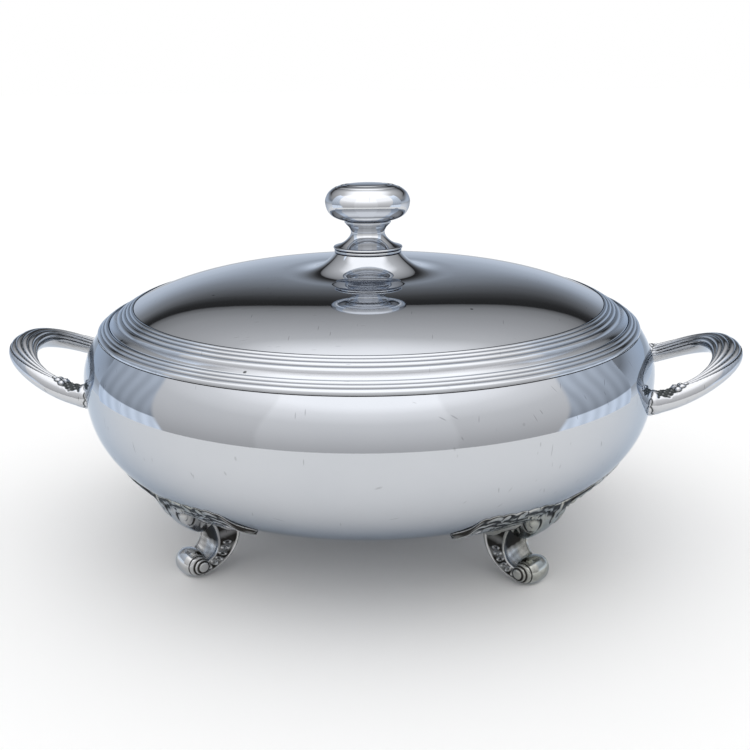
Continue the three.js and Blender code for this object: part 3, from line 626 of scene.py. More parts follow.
# Distance from the middle and radius of half the roll
ROLL_LINE = [[0, 5.2], [1.3, 5.15], [2.5, 4.99], [3.4, 4.76], [4.1, 4.46], [4.6, 4.16], [4.88, 3.86],
             [5, 3.6], [5.12, 3.64], [5.3, 3.84], [5.62, 3.84], [5.92, 3.62], [6.1, 3.26], [6.2, 2.86],
             [6.3, 2.88], [6.48, 2.98], [6.7, 2.8], [6.84, 2.45], [6.9, 2.1], [6.98, 2], [7.14, 1.85],
             [7.26, 1.4], [7.3, 0.8], [7.3, 0.05]]
ROLL_STEPS = 72
ROLL_GROOVES = (4.97, 6.2, 6.92)
ROLL_GROOVE_WIDTH = 0.16
EYE_SHIFT = -1.5
EYE_RISE_SHARE = 0.25

# Radius and height of the leg's two edges
LEG_FRONT = [[83.4, 24], [80.6, 19], [79.5, 15.2], [79.3, 12.4], [79.9, 10.1], [81.3, 8], [83.6, 6.4],
             [86.2, 5.6]]
LEG_BACK = [[68.7, 24], [69.1, 16.6], [70.1, 12.1], [71.7, 8.8], [74.2, 6.2], [77.6, 3.95], [81.4, 2.1],
            [85.6, 0.9]]
LEG_STATIONS = 90
LEG_HALF_WIDTH = 7.0
LEG_NARROWING = 0.9
LEG_ROUND = 0.4
LEG_SINK = 0.1
DISH_DEPTH = 1.9
DISH_SHARE = 0.88
SIDE_BAND_DEPTH = 0.5
PELLET_PITCH = 2.35
PELLET_HEIGHT = 0.55


def roll():
    """The turned scroll end, with stepped rings and an eye that sits towards the leg."""
    half = spline(ROLL_LINE, per_span=3)
    line = np.vstack([half[:0:-1] * [-1, 1], half])
    angle = full_turn(ROLL_STEPS)
    across, radius = line[:, 0][:, None], line[:, 1][:, None]
    depth = np.abs(across)
    shift = EYE_SHIFT * ease(4.9, 7.2, depth)
    height = radius * np.sin(angle) + ROLL_CENTRE + EYE_RISE_SHARE * shift
    points = np.stack([FOOT_RADIUS + radius * np.cos(angle) + shift, across + 0 * angle,
                       np.maximum(height, 0)], -1)
    # dirt and painted shade in the grooves between the rings
    hollow = sum(bell(depth, place, ROLL_GROOVE_WIDTH) for place in ROLL_GROOVES) + 0 * angle
    return closed_tube(points, np.clip(hollow, 0, 1))


def leg_edge(corners, share):
    line = evened(spline(corners, per_span=12), spacing=0.1)
    return at_places(share, np.linspace(0, 1, len(line)), line)


def leg_rounding(y, flat_share):
    return LEG_ROUND * np.clip((abs(y) - flat_share) / (1 - flat_share), 0, 1) ** 2


def leg_front(y, share):
    """Depth of a line down the dished front, with mottled tone, a dark line at the groove and painted shade
    near the top under the knuckle.
    """
    dish = DISH_DEPTH * np.clip(1 - (abs(y) / DISH_SHARE) ** 2.4, 0, 1) ** 0.8 * ease(1.02, 0.9, share)
    groove = bell(abs(y), 0.885, 0.03)
    mottle = 0.1 * np.sin(9 * y + 31 * share) * np.sin(47 * share - 5 * y)
    # painted shade: the front is darker near its top, under the knuckle
    shade = 0.32 + mottle + 0.68 * ease(0.64, 0.46, share) * ease(0.85, 0.45, abs(y))
    depth = dish + leg_rounding(y, 0.93) + 0.12 * groove
    return depth, np.maximum(0.9 * groove, shade * (abs(y) < 0.86))


def leg_side(w, length, depth):
    """Inset of a line down the side's sunk band with its pellets, and dirt with painted shade in the band,
    clear on the pellets.
    """
    sunk = ease(0.1, 0.15, w) * ease(0.92, 0.87, w)
    cell = ((length + 0.25 * PELLET_PITCH) % PELLET_PITCH) / PELLET_PITCH - 0.5
    from_middle = (w - 0.5) * depth
    slant = cell * PELLET_PITCH + 0.35 * from_middle
    gap = np.hypot(slant / 0.78, from_middle / np.minimum(1.9, 0.32 * depth))
    pellet = bell(gap, 0.75, 0.28) * ease(10.5, 12.5, length)
    grime_and_shade = sunk * np.clip(0.66 + 0.2 * np.sin(5 * w + length) - 0.9 * pellet, 0, 1)
    return SIDE_BAND_DEPTH * sunk - PELLET_HEIGHT * sunk * pellet, grime_and_shade


def leg():
    """The leg, made of lines that run down it."""
    share = np.linspace(0, 1, LEG_STATIONS)
    front, back = leg_edge(LEG_FRONT, share), leg_edge(LEG_BACK, share)
    width = LEG_HALF_WIDTH - LEG_NARROWING * ease(0.72, 1.0, share)
    depth = np.linalg.norm(front - back, axis=1)
    length = path_length((front + back) / 2)

    def front_line(y):
        inset, grime_and_shade = leg_front(y, share)
        return y * width, inset / depth, grime_and_shade

    def side_line(side, w):
        inset, grime_and_shade = leg_side(w, length, depth)
        return side * (width - inset), np.full(LEG_STATIONS, w), grime_and_shade

    def back_line(y):
        return y * width, 1 - leg_rounding(y, 0.9) / depth, np.full(LEG_STATIONS, 0.1)

    steps = np.linspace(0, 1, num=44, endpoint=False)
    lines = [front_line(y) for y in np.linspace(-1, 1, num=40, endpoint=False)]
    lines += [side_line(1, w) for w in steps]
    lines += [back_line(y) for y in np.linspace(1, -1, num=20, endpoint=False)]
    lines += [side_line(-1, w) for w in 1 - steps]
    # dirt, mottled tone and painted shade gathered from each line
    across, w, grime_and_shade = (np.stack(column, -1) for column in zip(*lines))
    place = front[:, None] + (back - front)[:, None] * w[..., None]
    height = np.minimum(place[..., 1], belly_height(place[..., 0]) - LEG_SINK)
    return closed_tube(np.stack([place[..., 0], across, height], -1), grime_and_shade)


# Outline of half a spray: how far round, and its inner and outer edges as shares of its width
LEAF_OUTLINE_SHARES = [[0, 0, 0.86], [0.1, 0, 0.875], [0.19, 0, 0.93], [0.3, 0, 0.965], [0.46, 0.185, 0.974],
                       [0.63, 0.29, 0.987], [0.78, 0.4, 1], [0.88, 0.476, 0.97], [0.92, 0.53, 0.82],
                       [1, 0.59, 0.66]]
SCALLOP_SHARE = 0.02
SCALLOP_START_SHARE = 0.33
SCALLOP_LENGTH = 4.6
# The knee in the foot's middle plane: radius and depth below the bowl
KNEE_LINE = [[67, 3], [72, 3.6], [77, 5], [80, 6.6], [81, 8.1], [83, 9.5], [85, 10.3], [87, 10],
             [89, 9.4], [91.6, 8.5], [92.9, 7.7], [94.2, 6.7], [95.2, 5.7], [96, 4.7], [97.5, 2.5], [99, 1],
             [101, 0.3], [106, 0]]
# Radius and half-width of the knee, and radius and depth of the skirt beside it
KNEE_FLANKS = [(66, 9.5), (74, 8.6), (79, 7.2), (83, 6.4), (86, 7.2), (90, 9.4), (96, 11), (106, 12)]
SKIRT_LINE = [(66, 2), (69, 5.4), (73, 7), (76, 6.9), (79, 5.6), (83, 4.7), (86, 4.4), (89, 3), (92, 0)]
SKIRT_GAP = 7.6
SKIRT_SPREAD = 1.7
STROKE_PITCH = 2.4
STROKE_DEPTH = 1.1
STROKE_REACH = 4.2
KNUCKLE_REACH = 12.0
TAIL_REACH_LOSS = 10.0
LIP_MIDDLE_RADIUS = 82.6
LIP_ARCH = 5.0
LIP_HALF_WIDTH = 7.4
VEIN_PITCH = 2.3
VEIN_DEPTH = 0.5
# Radius, distance from the middle line, size and height of each bead, boss and lobe
BRACKET_BEADS = [(93.2, 8.2, 2.7, 1.5), (97.6, 11.4, 1.4, 1), (99.6, 14.2, 1.1, 0.9), (87.2, 11.2, 1.6, 0.9),
                 (71.5, 12.6, 2.6, 1.1), (76.4, 16.8, 2.4, 1.1), (80.2, 21.2, 2.2, 1), (83.2, 25.6, 2, 0.9),
                 (85.8, 29.8, 1.8, 0.8), (88.2, 33.6, 1.6, 0.7), (90.4, 36.8, 1.3, 0.6), (101, 17.6, 1, 0.7),
                 (103.2, 23.6, 1.6, 0.35), (103.7, 31, 1.5, 0.35), (97.2, 36.2, 1.2, 0.5)]
BRACKET_BEAD_SHADOW = (1.12, 1.17, 0.17)
EDGE_THICKNESS = 0.3
PLATE_THICKNESS = 1.0
PLATE_ROUND = 1.3
LEAST_DEPTH = 0.15
LEAST_RELIEF = 0.2
EDGE_SHARE = 0.35
EDGE_FALL = 0.7
# Away from the knuckle the spray thins towards its outer edge
TAIL_EDGE_SHARE = 0.14
TAIL_FULL_INSET = 9.0
BRACKET_SINK = 0.1
BRACKET_ROOT = 0.12
BRACKET_STATIONS = 300
BRACKET_ROWS = 130


def spray_edges(share):
    """Inner and outer radius of the spray, scalloped between its lobes."""
    away = np.abs(share)
    edges = evened(spline(LEAF_OUTLINE_SHARES, per_span=8), spacing=0.002)
    inner_share, outer_share = at_places(away, edges[:, 0], edges[:, 1:]).T
    scallop = SCALLOP_SHARE * np.abs(np.sin(away * LEAF_HALF_LENGTH * np.pi / SCALLOP_LENGTH)) ** 0.6
    scallop = scallop * ease(1, 0.9, away)
    band = LEAF_OUTER_RADIUS - LEAF_INNER_RADIUS
    inner = LEAF_INNER_RADIUS + band * (inner_share - scallop * (away > SCALLOP_START_SHARE))
    outer = LEAF_INNER_RADIUS + band * np.minimum(outer_share + scallop - SCALLOP_SHARE, 1)
    return inner[:, None], outer[:, None]


def knee(radius, gap):
    """Depth of the smooth knuckle over the leg and of the skirt round its top."""
    nose = level(KNEE_LINE, radius)
    flank = level(KNEE_FLANKS, radius)
    nose = nose * np.clip(1 - (gap / flank) ** 2.6, 0, 1) ** 0.62
    skirt = level(SKIRT_LINE, radius) * bell(gap, SKIRT_GAP, SKIRT_SPREAD)
    return np.maximum(nose, skirt)


def strokes(radius, gap, from_top, reach, lip):
    """Relief of the broken strokes that run along the upper edge, with dirt and painted shade between them.
    """
    turn = (from_top + 0.1 * gap + 0.3 * np.sin(gap * 0.42) + 1.4) / STROKE_PITCH
    wave = np.abs(np.sin(np.pi * turn)) ** 0.8 * np.abs(np.sin(gap * 0.3 + 1.9 * np.floor(turn))) ** 0.25
    zone = ease(reach + 0.6, reach - 0.3, from_top) * ease(0.3, 1.6, gap)
    zone = zone * ease(lip + 1.2, lip + 2.2, radius)
    return STROKE_DEPTH * (wave - 0.4) * zone, (1 - wave) ** 1.1 * zone * 1.8


def veins(gap, from_top, from_low, reach):
    """Relief of the veins that run from the knuckle out to the lobes, with dirt and painted shade between
    them.
    """
    wave = np.abs(np.sin(np.pi * (from_low * 0.75 + gap * 0.3) / VEIN_PITCH)) ** 0.7
    zone = ease(reach, reach + 1.0, from_top) * ease(9.5, 12, gap)
    zone = zone * ease(0.2, 1.2, from_low)
    return VEIN_DEPTH * (wave - 0.5) * zone, (1 - wave) ** 1.3 * zone * 0.5


def carved_depth(radius, gap, from_top, from_low, edge):
    """Depth below the bowl of the spray's carving, with its dirt and painted shade."""
    rise = np.clip(edge / PLATE_ROUND, 0, 1)
    plate = EDGE_THICKNESS + PLATE_THICKNESS * np.sqrt(rise * (2 - rise))
    lip = LIP_MIDDLE_RADIUS - LIP_ARCH * (np.clip(gap, 0, 8) / LIP_HALF_WIDTH) ** 2
    reach = STROKE_REACH + KNUCKLE_REACH * ease(7.5, 11.0, gap)
    reach = reach - TAIL_REACH_LOSS * ease(20, 34, gap)
    stroke_relief, stroke_grime_and_shade = strokes(radius, gap, from_top, reach, lip)
    vein_relief, vein_grime_and_shade = veins(gap, from_top, from_low, reach)
    bud = np.hypot(gap / 1.9, (from_top - 2.2) / 2.4)
    relief = stroke_relief + vein_relief + 0.9 * dome_bump(bud)
    # painted shadow ring round the bud on the knuckle
    hollow = np.maximum(np.maximum(stroke_grime_and_shade, vein_grime_and_shade), bell(bud, 1.12, 0.18))
    depth = (plate ** 4 + knee(radius, gap) ** 4) ** 0.25 + relief
    for place_radius, place_gap, size, height in BRACKET_BEADS:
        away = np.hypot(radius - place_radius, gap - place_gap) / size
        depth = depth + height * dome_bump(away) - 0.5 * bell(away, 1.16, 0.14)
        hollow = under_bead(hollow, away, *BRACKET_BEAD_SHADOW)
    # painted shadow inside the arched lip over the leg, which has a bright bead along it
    hollow = np.maximum(hollow, ease(0.0, 1.0, lip - radius) * ease(7.4, 6.2, gap))
    bead = 0.4 * bell(radius - lip, 1.0, 0.5) * ease(8.2, 7.0, gap)
    return depth + bead, hollow


def leaf_bracket():
    """The spray: strokes along its upper edge, lobes along the lower one."""
    share = np.linspace(-1, 1, BRACKET_STATIONS)
    share = np.sign(share) * np.abs(share) ** 1.15
    inner, outer = spray_edges(share)
    angle = (LEAF_HALF_LENGTH * share / FOOT_RADIUS)[:, None]
    radius = inner + (outer - inner) * np.linspace(0, 1, BRACKET_ROWS)
    gap = np.abs(angle * radius)
    from_top = outer - radius
    from_low = radius - inner
    tip = (1 - np.abs(share))[:, None] * LEAF_HALF_LENGTH
    edge = np.minimum(np.minimum(from_top, from_low), tip)
    depth, hollow = carved_depth(radius, gap, from_top, from_low, edge)
    thin = np.interp(LEAF_OUTER_RADIUS - radius, [0, TAIL_FULL_INSET], [TAIL_EDGE_SHARE, 1])
    thin = 1 - (1 - thin) * ease(3.5, 7.5, gap)
    full = EDGE_SHARE + (1 - EDGE_SHARE) * ease(0, EDGE_FALL, edge)
    depth = LEAST_DEPTH + (np.maximum(depth, LEAST_RELIEF) - LEAST_DEPTH) * full * thin
    surface = belly_height(radius)
    lower = np.stack([radius * np.cos(angle), radius * np.sin(angle), surface - BRACKET_SINK - depth], -1)
    upper = lower.copy()
    upper[..., 2] = surface + BRACKET_ROOT
    points = np.concatenate([lower, upper[:, ::-1]], axis=1)
    return closed_tube(points, np.concatenate([np.clip(hollow, 0, 1), 0 * hollow], axis=1))


# Materials

def principled(name, **inputs):
    material = bpy.data.materials.new(name)
    material.use_nodes = True
    shader = material.node_tree.nodes["Principled BSDF"]
    for key, value in inputs.items():
        shader.inputs[key].default_value = value
    return material, material.node_tree, shader


def link(source, target):
    source.id_data.links.new(source, target)


def node(tree, kind, **settings):
    made = tree.nodes.new("ShaderNode" + kind)
    for key, value in settings.items():
        if isinstance(value, (int, float, tuple)) and key in made.inputs:
            made.inputs[key].default_value = value
        else:
            setattr(made, key, value)
    return made


def ramp(tree, source, stops):
    made = node(tree, "ValToRGB")
    elements = made.color_ramp.elements
    while len(elements) < len(stops):
        elements.new(0.5)
    for element, (place, value) in zip(elements, stops):
        element.position = place
        element.color = (value, value, value, 1)
    link(source, made.inputs[0])
    return made.outputs[0]


def mixed(tree, share, under, over):
    """The colour `under` with `over` laid on it by a share; either is a socket or a colour."""
    made = node(tree, "Mix", data_type="RGBA")
    link(share, made.inputs[0])
    for socket, value in ((made.inputs[6], under), (made.inputs[7], over)):
        if isinstance(value, tuple):
            socket.default_value = (*value, 1)
        else:
            link(value, socket)
    return made.outputs[2]


def computed(tree, operation, *values):
    made = node(tree, "Math", operation=operation)
    for socket, value in zip(made.inputs, values):
        if isinstance(value, (int, float)):
            socket.default_value = value
        else:
            link(value, socket)
    return made.outputs[0]


def largest(tree, first, *others):
    for other in others:
        first = computed(tree, "MAXIMUM", first, other)
    return first


def scaled(color, share):
    return tuple(part * share for part in color)


def marks(tree, place, scale, turn, reach, chance):
    """Scattered marks: one in some of the cells of a stretched cell pattern, 1 inside each mark."""
    stretch = node(tree, "Mapping", Scale=scale, Rotation=turn)
    cells = node(tree, "TexVoronoi", Scale=1.0, Randomness=1.0)
    link(place, stretch.inputs["Vector"])
    link(stretch.outputs[0], cells.inputs["Vector"])
    inside = ramp(tree, cells.outputs["Distance"], [(reach, 1), (reach * 1.6, 0)])
    split = node(tree, "SeparateColor")
    link(cells.outputs["Color"], split.inputs[0])
    chosen = ramp(tree, split.outputs[0], [(chance, 1), (chance + 0.01, 0)])
    return computed(tree, "MULTIPLY", inside, chosen)


# How the plate dims and turns blue where it is seen at a glancing angle
EDGE_TINT = (0.67, 0.74, 0.83, 1.0)
LID_EDGE_TINT = (0.86, 0.88, 0.91, 1.0)
KNOB_EDGE_TINT = (0.6, 0.63, 0.68, 1.0)
HAZE_TINT_SHARES = (0.955, 0.96, 0.965)
WORN_SHARE = 0.5
SCRATCH_SCALES = ((34, 700, 120), (520, 60, 90), (90, 760, 40))
SCRATCH_TURNS = ((0.2, 0.4, 0.5), (0.7, 0.2, 1.1), (1.2, 0.5, 0.2))
ROUGHEST_SHARE = 1.7
GRIME_ROUGHNESS = 0.3
BUMP_STRENGTH = 0.015
TARNISH = (0.3, 0.31, 0.22)


def silver(name, color, dark, roughness, wear, tarnish=None, edge=EDGE_TINT):
    """Polished plate: a cloudy haze, scratches and pits, patchy tarnish where asked, and dirt with painted
    shade laid on by the hollow attribute.
    """
    material, tree, shader = principled(name, Metallic=1.0, **{"Specular Tint": edge})
    place = node(tree, "TexCoord").outputs["Object"]
    textures = [node(tree, "TexNoise", Scale=18.0, Detail=5.0, Roughness=0.6),
                node(tree, "TexNoise", Scale=420.0, Detail=3.0, Roughness=0.6)]
    for texture in textures:
        link(place, texture.inputs["Vector"])
    haze, fine = (texture.outputs["Fac"] for texture in textures)
    pits = marks(tree, place, scale=(95.0, 95.0, 95.0), turn=(0.3, 0.2, 0.1), reach=0.045, chance=0.16)
    lines = [marks(tree, place, scale, turn, reach=0.07, chance=0.3)
             for scale, turn in zip(SCRATCH_SCALES, SCRATCH_TURNS)]
    visible = computed(tree, "MULTIPLY", haze, WORN_SHARE * wear)
    worn = computed(tree, "MULTIPLY", largest(tree, *lines), visible)
    hollow = node(tree, "Attribute", attribute_name="hollow")
    recess = ramp(tree, hollow.outputs["Fac"], [(0.12, 0), (0.75, 1)])
    cloud = ramp(tree, haze, [(0.35, 0), (0.7, 1)])
    soft = tuple(part * share for part, share in zip(color, HAZE_TINT_SHARES))
    surface = mixed(tree, cloud, color, soft)
    if tarnish:
        start, strength = tarnish
        stain = ramp(tree, haze, [(start, 0), (start + 0.12, strength)])
        surface = mixed(tree, stain, surface, TARNISH)
        grit = ramp(tree, fine, [(0.5, 0), (0.62, 0.5)])
        surface = mixed(tree, computed(tree, "MULTIPLY", grit, stain), surface, dark)
    surface = mixed(tree, worn, surface, scaled(color, share=0.3))
    # dirt and painted shade: the hollow attribute darkens creases, grooves and gaps towards the dark colour
    surface = mixed(tree, recess, surface, dark)
    surface = mixed(tree, pits, surface, scaled(color, share=0.16))
    link(surface, shader.inputs["Base Color"])
    rough = node(tree, "MapRange", **{"To Min": roughness, "To Max": roughness * ROUGHEST_SHARE})
    link(haze, rough.inputs["Value"])
    grimy = computed(tree, "MULTIPLY_ADD", recess, GRIME_ROUGHNESS, rough.outputs[0])
    link(grimy, shader.inputs["Roughness"])
    bump = node(tree, "Bump", Strength=BUMP_STRENGTH * wear, Distance=0.002)
    link(haze, bump.inputs["Height"])
    link(bump.outputs[0], shader.inputs["Normal"])
    return material


# One silver plate at a different level on each part: these lighter and darker copies stand in for how
# brightly each part is lit, which is painted light
BRIGHT = (0.57, 0.588, 0.618)
MOUNTS_BRIGHT = (0.62, 0.635, 0.66)
KNOB_BRIGHT = (0.66, 0.673, 0.695)
HANDLES_BRIGHT = (0.61, 0.62, 0.64)
FEET_BRIGHT = (0.6, 0.602, 0.604)
BRASS = (0.72, 0.56, 0.28)
# Dark colours of the dirt and painted shade in hollows, grooves and gaps
SHELL_DARK = (0.3, 0.29, 0.28)
REED_DARK = (0.16, 0.16, 0.17)
HANDLES_DARK = (0.06, 0.065, 0.065)
FEET_DARK = (0.035, 0.033, 0.03)
BRASS_DARK = (0.2, 0.15, 0.08)
MATERIALS = {
    "body": silver("silver_body", BRIGHT, SHELL_DARK, roughness=0.032, wear=1.4),
    "lid": silver("silver_lid", BRIGHT, SHELL_DARK, roughness=0.026, wear=1.2, edge=LID_EDGE_TINT),
    "mounts": silver("silver_mounts", MOUNTS_BRIGHT, REED_DARK, roughness=0.045, wear=1.0),
    "knob": silver("silver_knob", KNOB_BRIGHT, REED_DARK, roughness=0.03, wear=0.5, edge=KNOB_EDGE_TINT),
    "handles": silver("silver_handles", HANDLES_BRIGHT, HANDLES_DARK, roughness=0.08, wear=2.0),
    "feet": silver("silver_feet", FEET_BRIGHT, FEET_DARK, roughness=0.11, wear=2.5, tarnish=(0.5, 0.4)),
    "fixings": silver("brass_fixings", BRASS, BRASS_DARK, roughness=0.28, wear=1.0),
}


# Pieces on the dish and on the lid

# Width and darkness of the dirt and painted shade in the reed valleys
REED_GRIME_AND_SHADE_WIDTH = 0.3
BOWL_REED_GRIME_AND_SHADE = 0.5
LID_REED_GRIME_AND_SHADE = 0.6
# Inset, height and darkness of the dirt and painted shade over the ledge and at the lid's edge, in the gap
# between them
LEDGE_GRIME_AND_SHADE = ((0, 0.3, 1), (0, 0.8, 1))
LID_EDGE_GRIME_AND_SHADE = ((0.2, 0.1, 1), (0, 0.5, 1), (0, 0.9, 0.9))


def turned_piece(name, replaced, shape, slot, body, valleys=(), width=0.28, crease=40):
    """A turned piece with dirt and painted shade in the valleys of its line."""
    points, faces = shape
    radius = np.hypot(points[:, 0], points[:, 1])
    hollow = np.zeros(len(points))
    for valley_radius, valley_height, grime_and_shade in valleys:
        away = np.hypot(radius - valley_radius, points[:, 2] - valley_height) / width
        hollow = np.maximum(hollow, grime_and_shade * np.exp(-away ** 2))
    make_piece(name, points, faces, hollow, slot, body, replaced, crease)


def turned_copies(turns, slot, *shapes):
    """Copies of cast shapes on the dish, turned about its axis."""
    for place, turn in turns.items():
        cos, sin = math.cos(math.radians(turn)), math.sin(math.radians(turn))
        for name, replaced, (points, faces, hollow), crease in shapes:
            x, y, z = points.T
            points = np.stack([x * cos - y * sin, x * sin + y * cos, z], -1)
            make_piece(f"{name}_{place}", points, faces, hollow, slot, "dish", f"{replaced}_{place}", crease)


# Dirt and painted shade in the valleys of the reeds, over the ledge and lid edge, and in the rings on the bun
bowl_valleys = [(*valley, BOWL_REED_GRIME_AND_SHADE) for valley in BOWL_REED_LINE[:-1:REED_STEPS]]
bowl_valleys += [(LIP_RADIUS - inset, LEDGE_TOP + height, grime_and_shade) for inset, height, grime_and_shade in LEDGE_GRIME_AND_SHADE]
lid_valleys = [(*valley, LID_REED_GRIME_AND_SHADE) for valley in LID_REED_LINE[::REED_STEPS]]
lid_valleys += [(LID_RADIUS - inset, LID_BOTTOM + height, grime_and_shade) for inset, height, grime_and_shade in LID_EDGE_GRIME_AND_SHADE]
bun_valleys = [(radius, BUN_BOTTOM + height, 1.0) for _, (radius, height), *_ in BUN_RINGS]
turned_piece("bowl_shell", "bowl", bowl_shell(), "body", "dish")
turned_piece("bowl_reeds", "bowl_rim_mount", bowl_mount(), "mounts", "dish", bowl_valleys,
             REED_GRIME_AND_SHADE_WIDTH, crease=60)
turned_piece("lid_shell", "lid_dome", lid_dome(), "lid", "lid")
turned_piece("lid_reeds", "lid_rim_mount", lid_mount(), "mounts", "lid", lid_valleys,
             REED_GRIME_AND_SHADE_WIDTH, crease=60)
bezel = flat_ring(BEZEL_RADIUS, BEZEL_BORE, BEZEL_TOP - BEZEL_DEPTH, BEZEL_TOP, edge=0.3, steps=TURN_STEPS)
turned_piece("lid_flange", "lid_bezel", bezel, "mounts", "lid")
collar = flat_ring(COLLAR_RADIUS, STUD_HOLE, COLLAR_BOTTOM, COLLAR_TOP, edge=0.4, steps=KNOB_STEPS)
turned_piece("knob_washer_ring", "knob_collar", collar, "knob", "lid")
turned_piece("knob_neck", "knob_stem", stem(), "knob", "lid")
turned_piece("knob_grip", "knob_bun", bun(), "knob", "lid", bun_valleys, width=0.36, crease=60)
turned_piece("fixing_stud", "knob_stud", stud(), "fixings", "lid")
washer = flat_ring(WASHER_RADIUS, STUD_HOLE, WASHER_BOTTOM, WASHER_TOP, edge=0.2, steps=64)
turned_piece("fixing_washer", "knob_washer", washer, "fixings", "lid")
turned_piece("fixing_nut", "knob_nut", nut(), "fixings", "lid")

leg_points, leg_faces, leg_hollow = leg()
roll_points, roll_faces, roll_hollow = roll()
foot = (np.vstack([leg_points, roll_points]),
        leg_faces + [[corner + len(leg_points) for corner in face] for face in roll_faces],
        np.concatenate([leg_hollow, roll_hollow]))
turned_copies({"right": 0, "left": 180}, "handles", ("handle_loop", "handle", handle(), CAST_CREASE))
turned_copies(CORNERS, "feet", ("scroll_leg", "scroll_foot", foot, LEG_CREASE),
              ("leaf_spray", "leaf_bracket", leaf_bracket(), CAST_CREASE))


# Camera, at the photograph's viewing angle

CAMERA_TURN = 4.2
CAMERA_TILT = 15.9
CAMERA_DISTANCE = 437.2
AIM_HEIGHT = 63.2
CAMERA_ROLL = 0.6
SENSOR = 36.0
LENS_SHARE = 1049 / 750
SHIFT_RIGHT_SHARE = 5.7 / 750
SHIFT_UP_SHARE = -1.0 / 750
CLIP_START = 10.0


def add_camera():
    tilt, turn = math.radians(CAMERA_TILT), math.radians(CAMERA_TURN)
    aim = Vector((0, 0, AIM_HEIGHT))
    away = Vector((math.sin(turn) * math.cos(tilt), -math.cos(turn) * math.cos(tilt), math.sin(tilt)))
    data = bpy.data.cameras.new("camera")
    data.sensor_width = SENSOR
    data.lens = LENS_SHARE * SENSOR
    data.shift_x = SHIFT_RIGHT_SHARE
    data.shift_y = SHIFT_UP_SHARE
    data.clip_start = CLIP_START * MM
    camera = placed("camera", data)
    facing = away.to_track_quat("Z", "Y").to_matrix().to_4x4()
    camera.matrix_world = (Matrix.Translation((aim + away * CAMERA_DISTANCE) * MM) @ facing
                           @ Matrix.Rotation(math.radians(-CAMERA_ROLL), 4, "Z"))
    bpy.context.scene.camera = camera


add_camera()


# Floor, light tent and world, in metres; turns are 0 behind the dish and 180 in front of it

CLOTH_BLUE = (0.97, 1.07, 1.22)
CLOTH_PLAIN = (1.08, 1.08, 1.095)
APRON_BLUE = (0.97, 1.01, 1.07)
TENT_RADIUS = 3.0
# Start, end and steps of each part of the tent's height in degrees
TENT_HEIGHTS = ((0, 20, 30), (20, 30, 50), (30, 90, 59))
# Brightness of the tent's cloth by height in degrees, seen from the dish
BACK_LIGHT = [(0, 0.69), (6, 0.66), (10, 0.52), (14, 0.3), (18, 0.155), (22, 0.07), (25, 0.035),
              (28.2, 0.025), (28.8, 0.15), (31, 0.28), (36, 0.4), (46, 0.55), (54, 0.68), (62, 1.15),
              (70, 1.5)]
SIDE_LIGHT = [(0, 0.62), (8, 0.5), (14, 0.24), (22, 0.36), (40, 0.5), (54, 0.7), (62, 1.15), (70, 1.5)]
FLANK_LIGHT = [(-16, 0.95), (-1.5, 0.95), (-0.4, 0.4), (8, 0.48), (25, 0.58), (45, 0.78), (60, 1.3)]
FRONT_LIGHT = [(-14, 0.56), (0, 0.66), (30, 0.86), (41, 1.1), (47, 1.4), (60, 1.5)]
# To the sides the dark band of the back cloth is narrower, by these degrees on each edge
BAND_SHIFT = 4.0
APRON_RADII = (0.45, 0.7, 1.1, 2.95)
APRON_LIGHT = (0.98, 0.8, 0.62, 0.55)
FLOOR_RADII = (0.15, 0.4, 1.0, 3.0, 12.0)
FLOOR_STEPS = 128
SCREEN_RADIUS = 0.375
SCREEN_HEIGHT = 0.5
SCREEN_FOOT = 0.08
SCREEN_START = 74.0
PANEL_EDGES = (113.0, 98.0)
PANEL_TOP = 0.36
MIDDLE_EDGE = 149.0
MIDDLE_SHARE = 0.9
FOLD_SHARE = 0.09
FOLD_TURN = 6.5


def tent_light(turn, height):
    behind = ease(62, 34, turn)
    ahead = ease(74, 100, turn)
    shift = BAND_SHIFT * (2 * ease(19, 25, height) - 1)
    place = height + shift * ease(8, 40, turn)
    glow = level(BACK_LIGHT, place) * behind + level(SIDE_LIGHT, height) * (1 - behind)
    glow = glow * (1 - ahead) + level(FRONT_LIGHT, height) * ahead
    blue = ease(26, 10, height) * (1 - ahead)
    tint = np.array(CLOTH_BLUE) * blue[..., None] + np.array(CLOTH_PLAIN) * (1 - blue[..., None])
    return glow[..., None] * tint


def cloth(name, points, glow, closed=True):
    """A lit cloth of the light tent. Only reflections meet it, so it hides nothing and casts no shadow."""
    material = bpy.data.materials.new(name)
    material.use_nodes = True
    tree = material.node_tree
    tree.nodes.clear()
    color = node(tree, "Attribute", attribute_name="glow")
    emission = node(tree, "Emission")
    output = node(tree, "OutputMaterial")
    link(color.outputs["Color"], emission.inputs["Color"])
    link(emission.outputs[0], output.inputs["Surface"])
    rows, columns = points.shape[:2]
    piece = mesh_piece(name, points, grid_faces(rows, columns, wrap_columns=closed).tolist(), material)
    attribute = piece.data.attributes.new("glow", "FLOAT_COLOR", "POINT")
    rgba = np.concatenate([glow.reshape(-1, 3), np.ones((rows * columns, 1))], 1)
    attribute.data.foreach_set("color", rgba.astype(np.float32).reshape(-1))
    piece.visible_camera = False
    piece.visible_diffuse = False
    piece.visible_shadow = False


def add_tent():
    turn = np.linspace(-180, 180, num=240, endpoint=False)
    height = [np.linspace(*part, endpoint=False) for part in TENT_HEIGHTS]
    height, turn = np.meshgrid(np.concatenate([*height, [90]]), turn, indexing="ij")
    rows, columns = np.radians(height), np.radians(turn)
    points = np.stack([np.sin(columns) * np.cos(rows), np.cos(columns) * np.cos(rows), np.sin(rows)], -1)
    cloth("light_tent", TENT_RADIUS * points, tent_light(np.abs(turn), height))


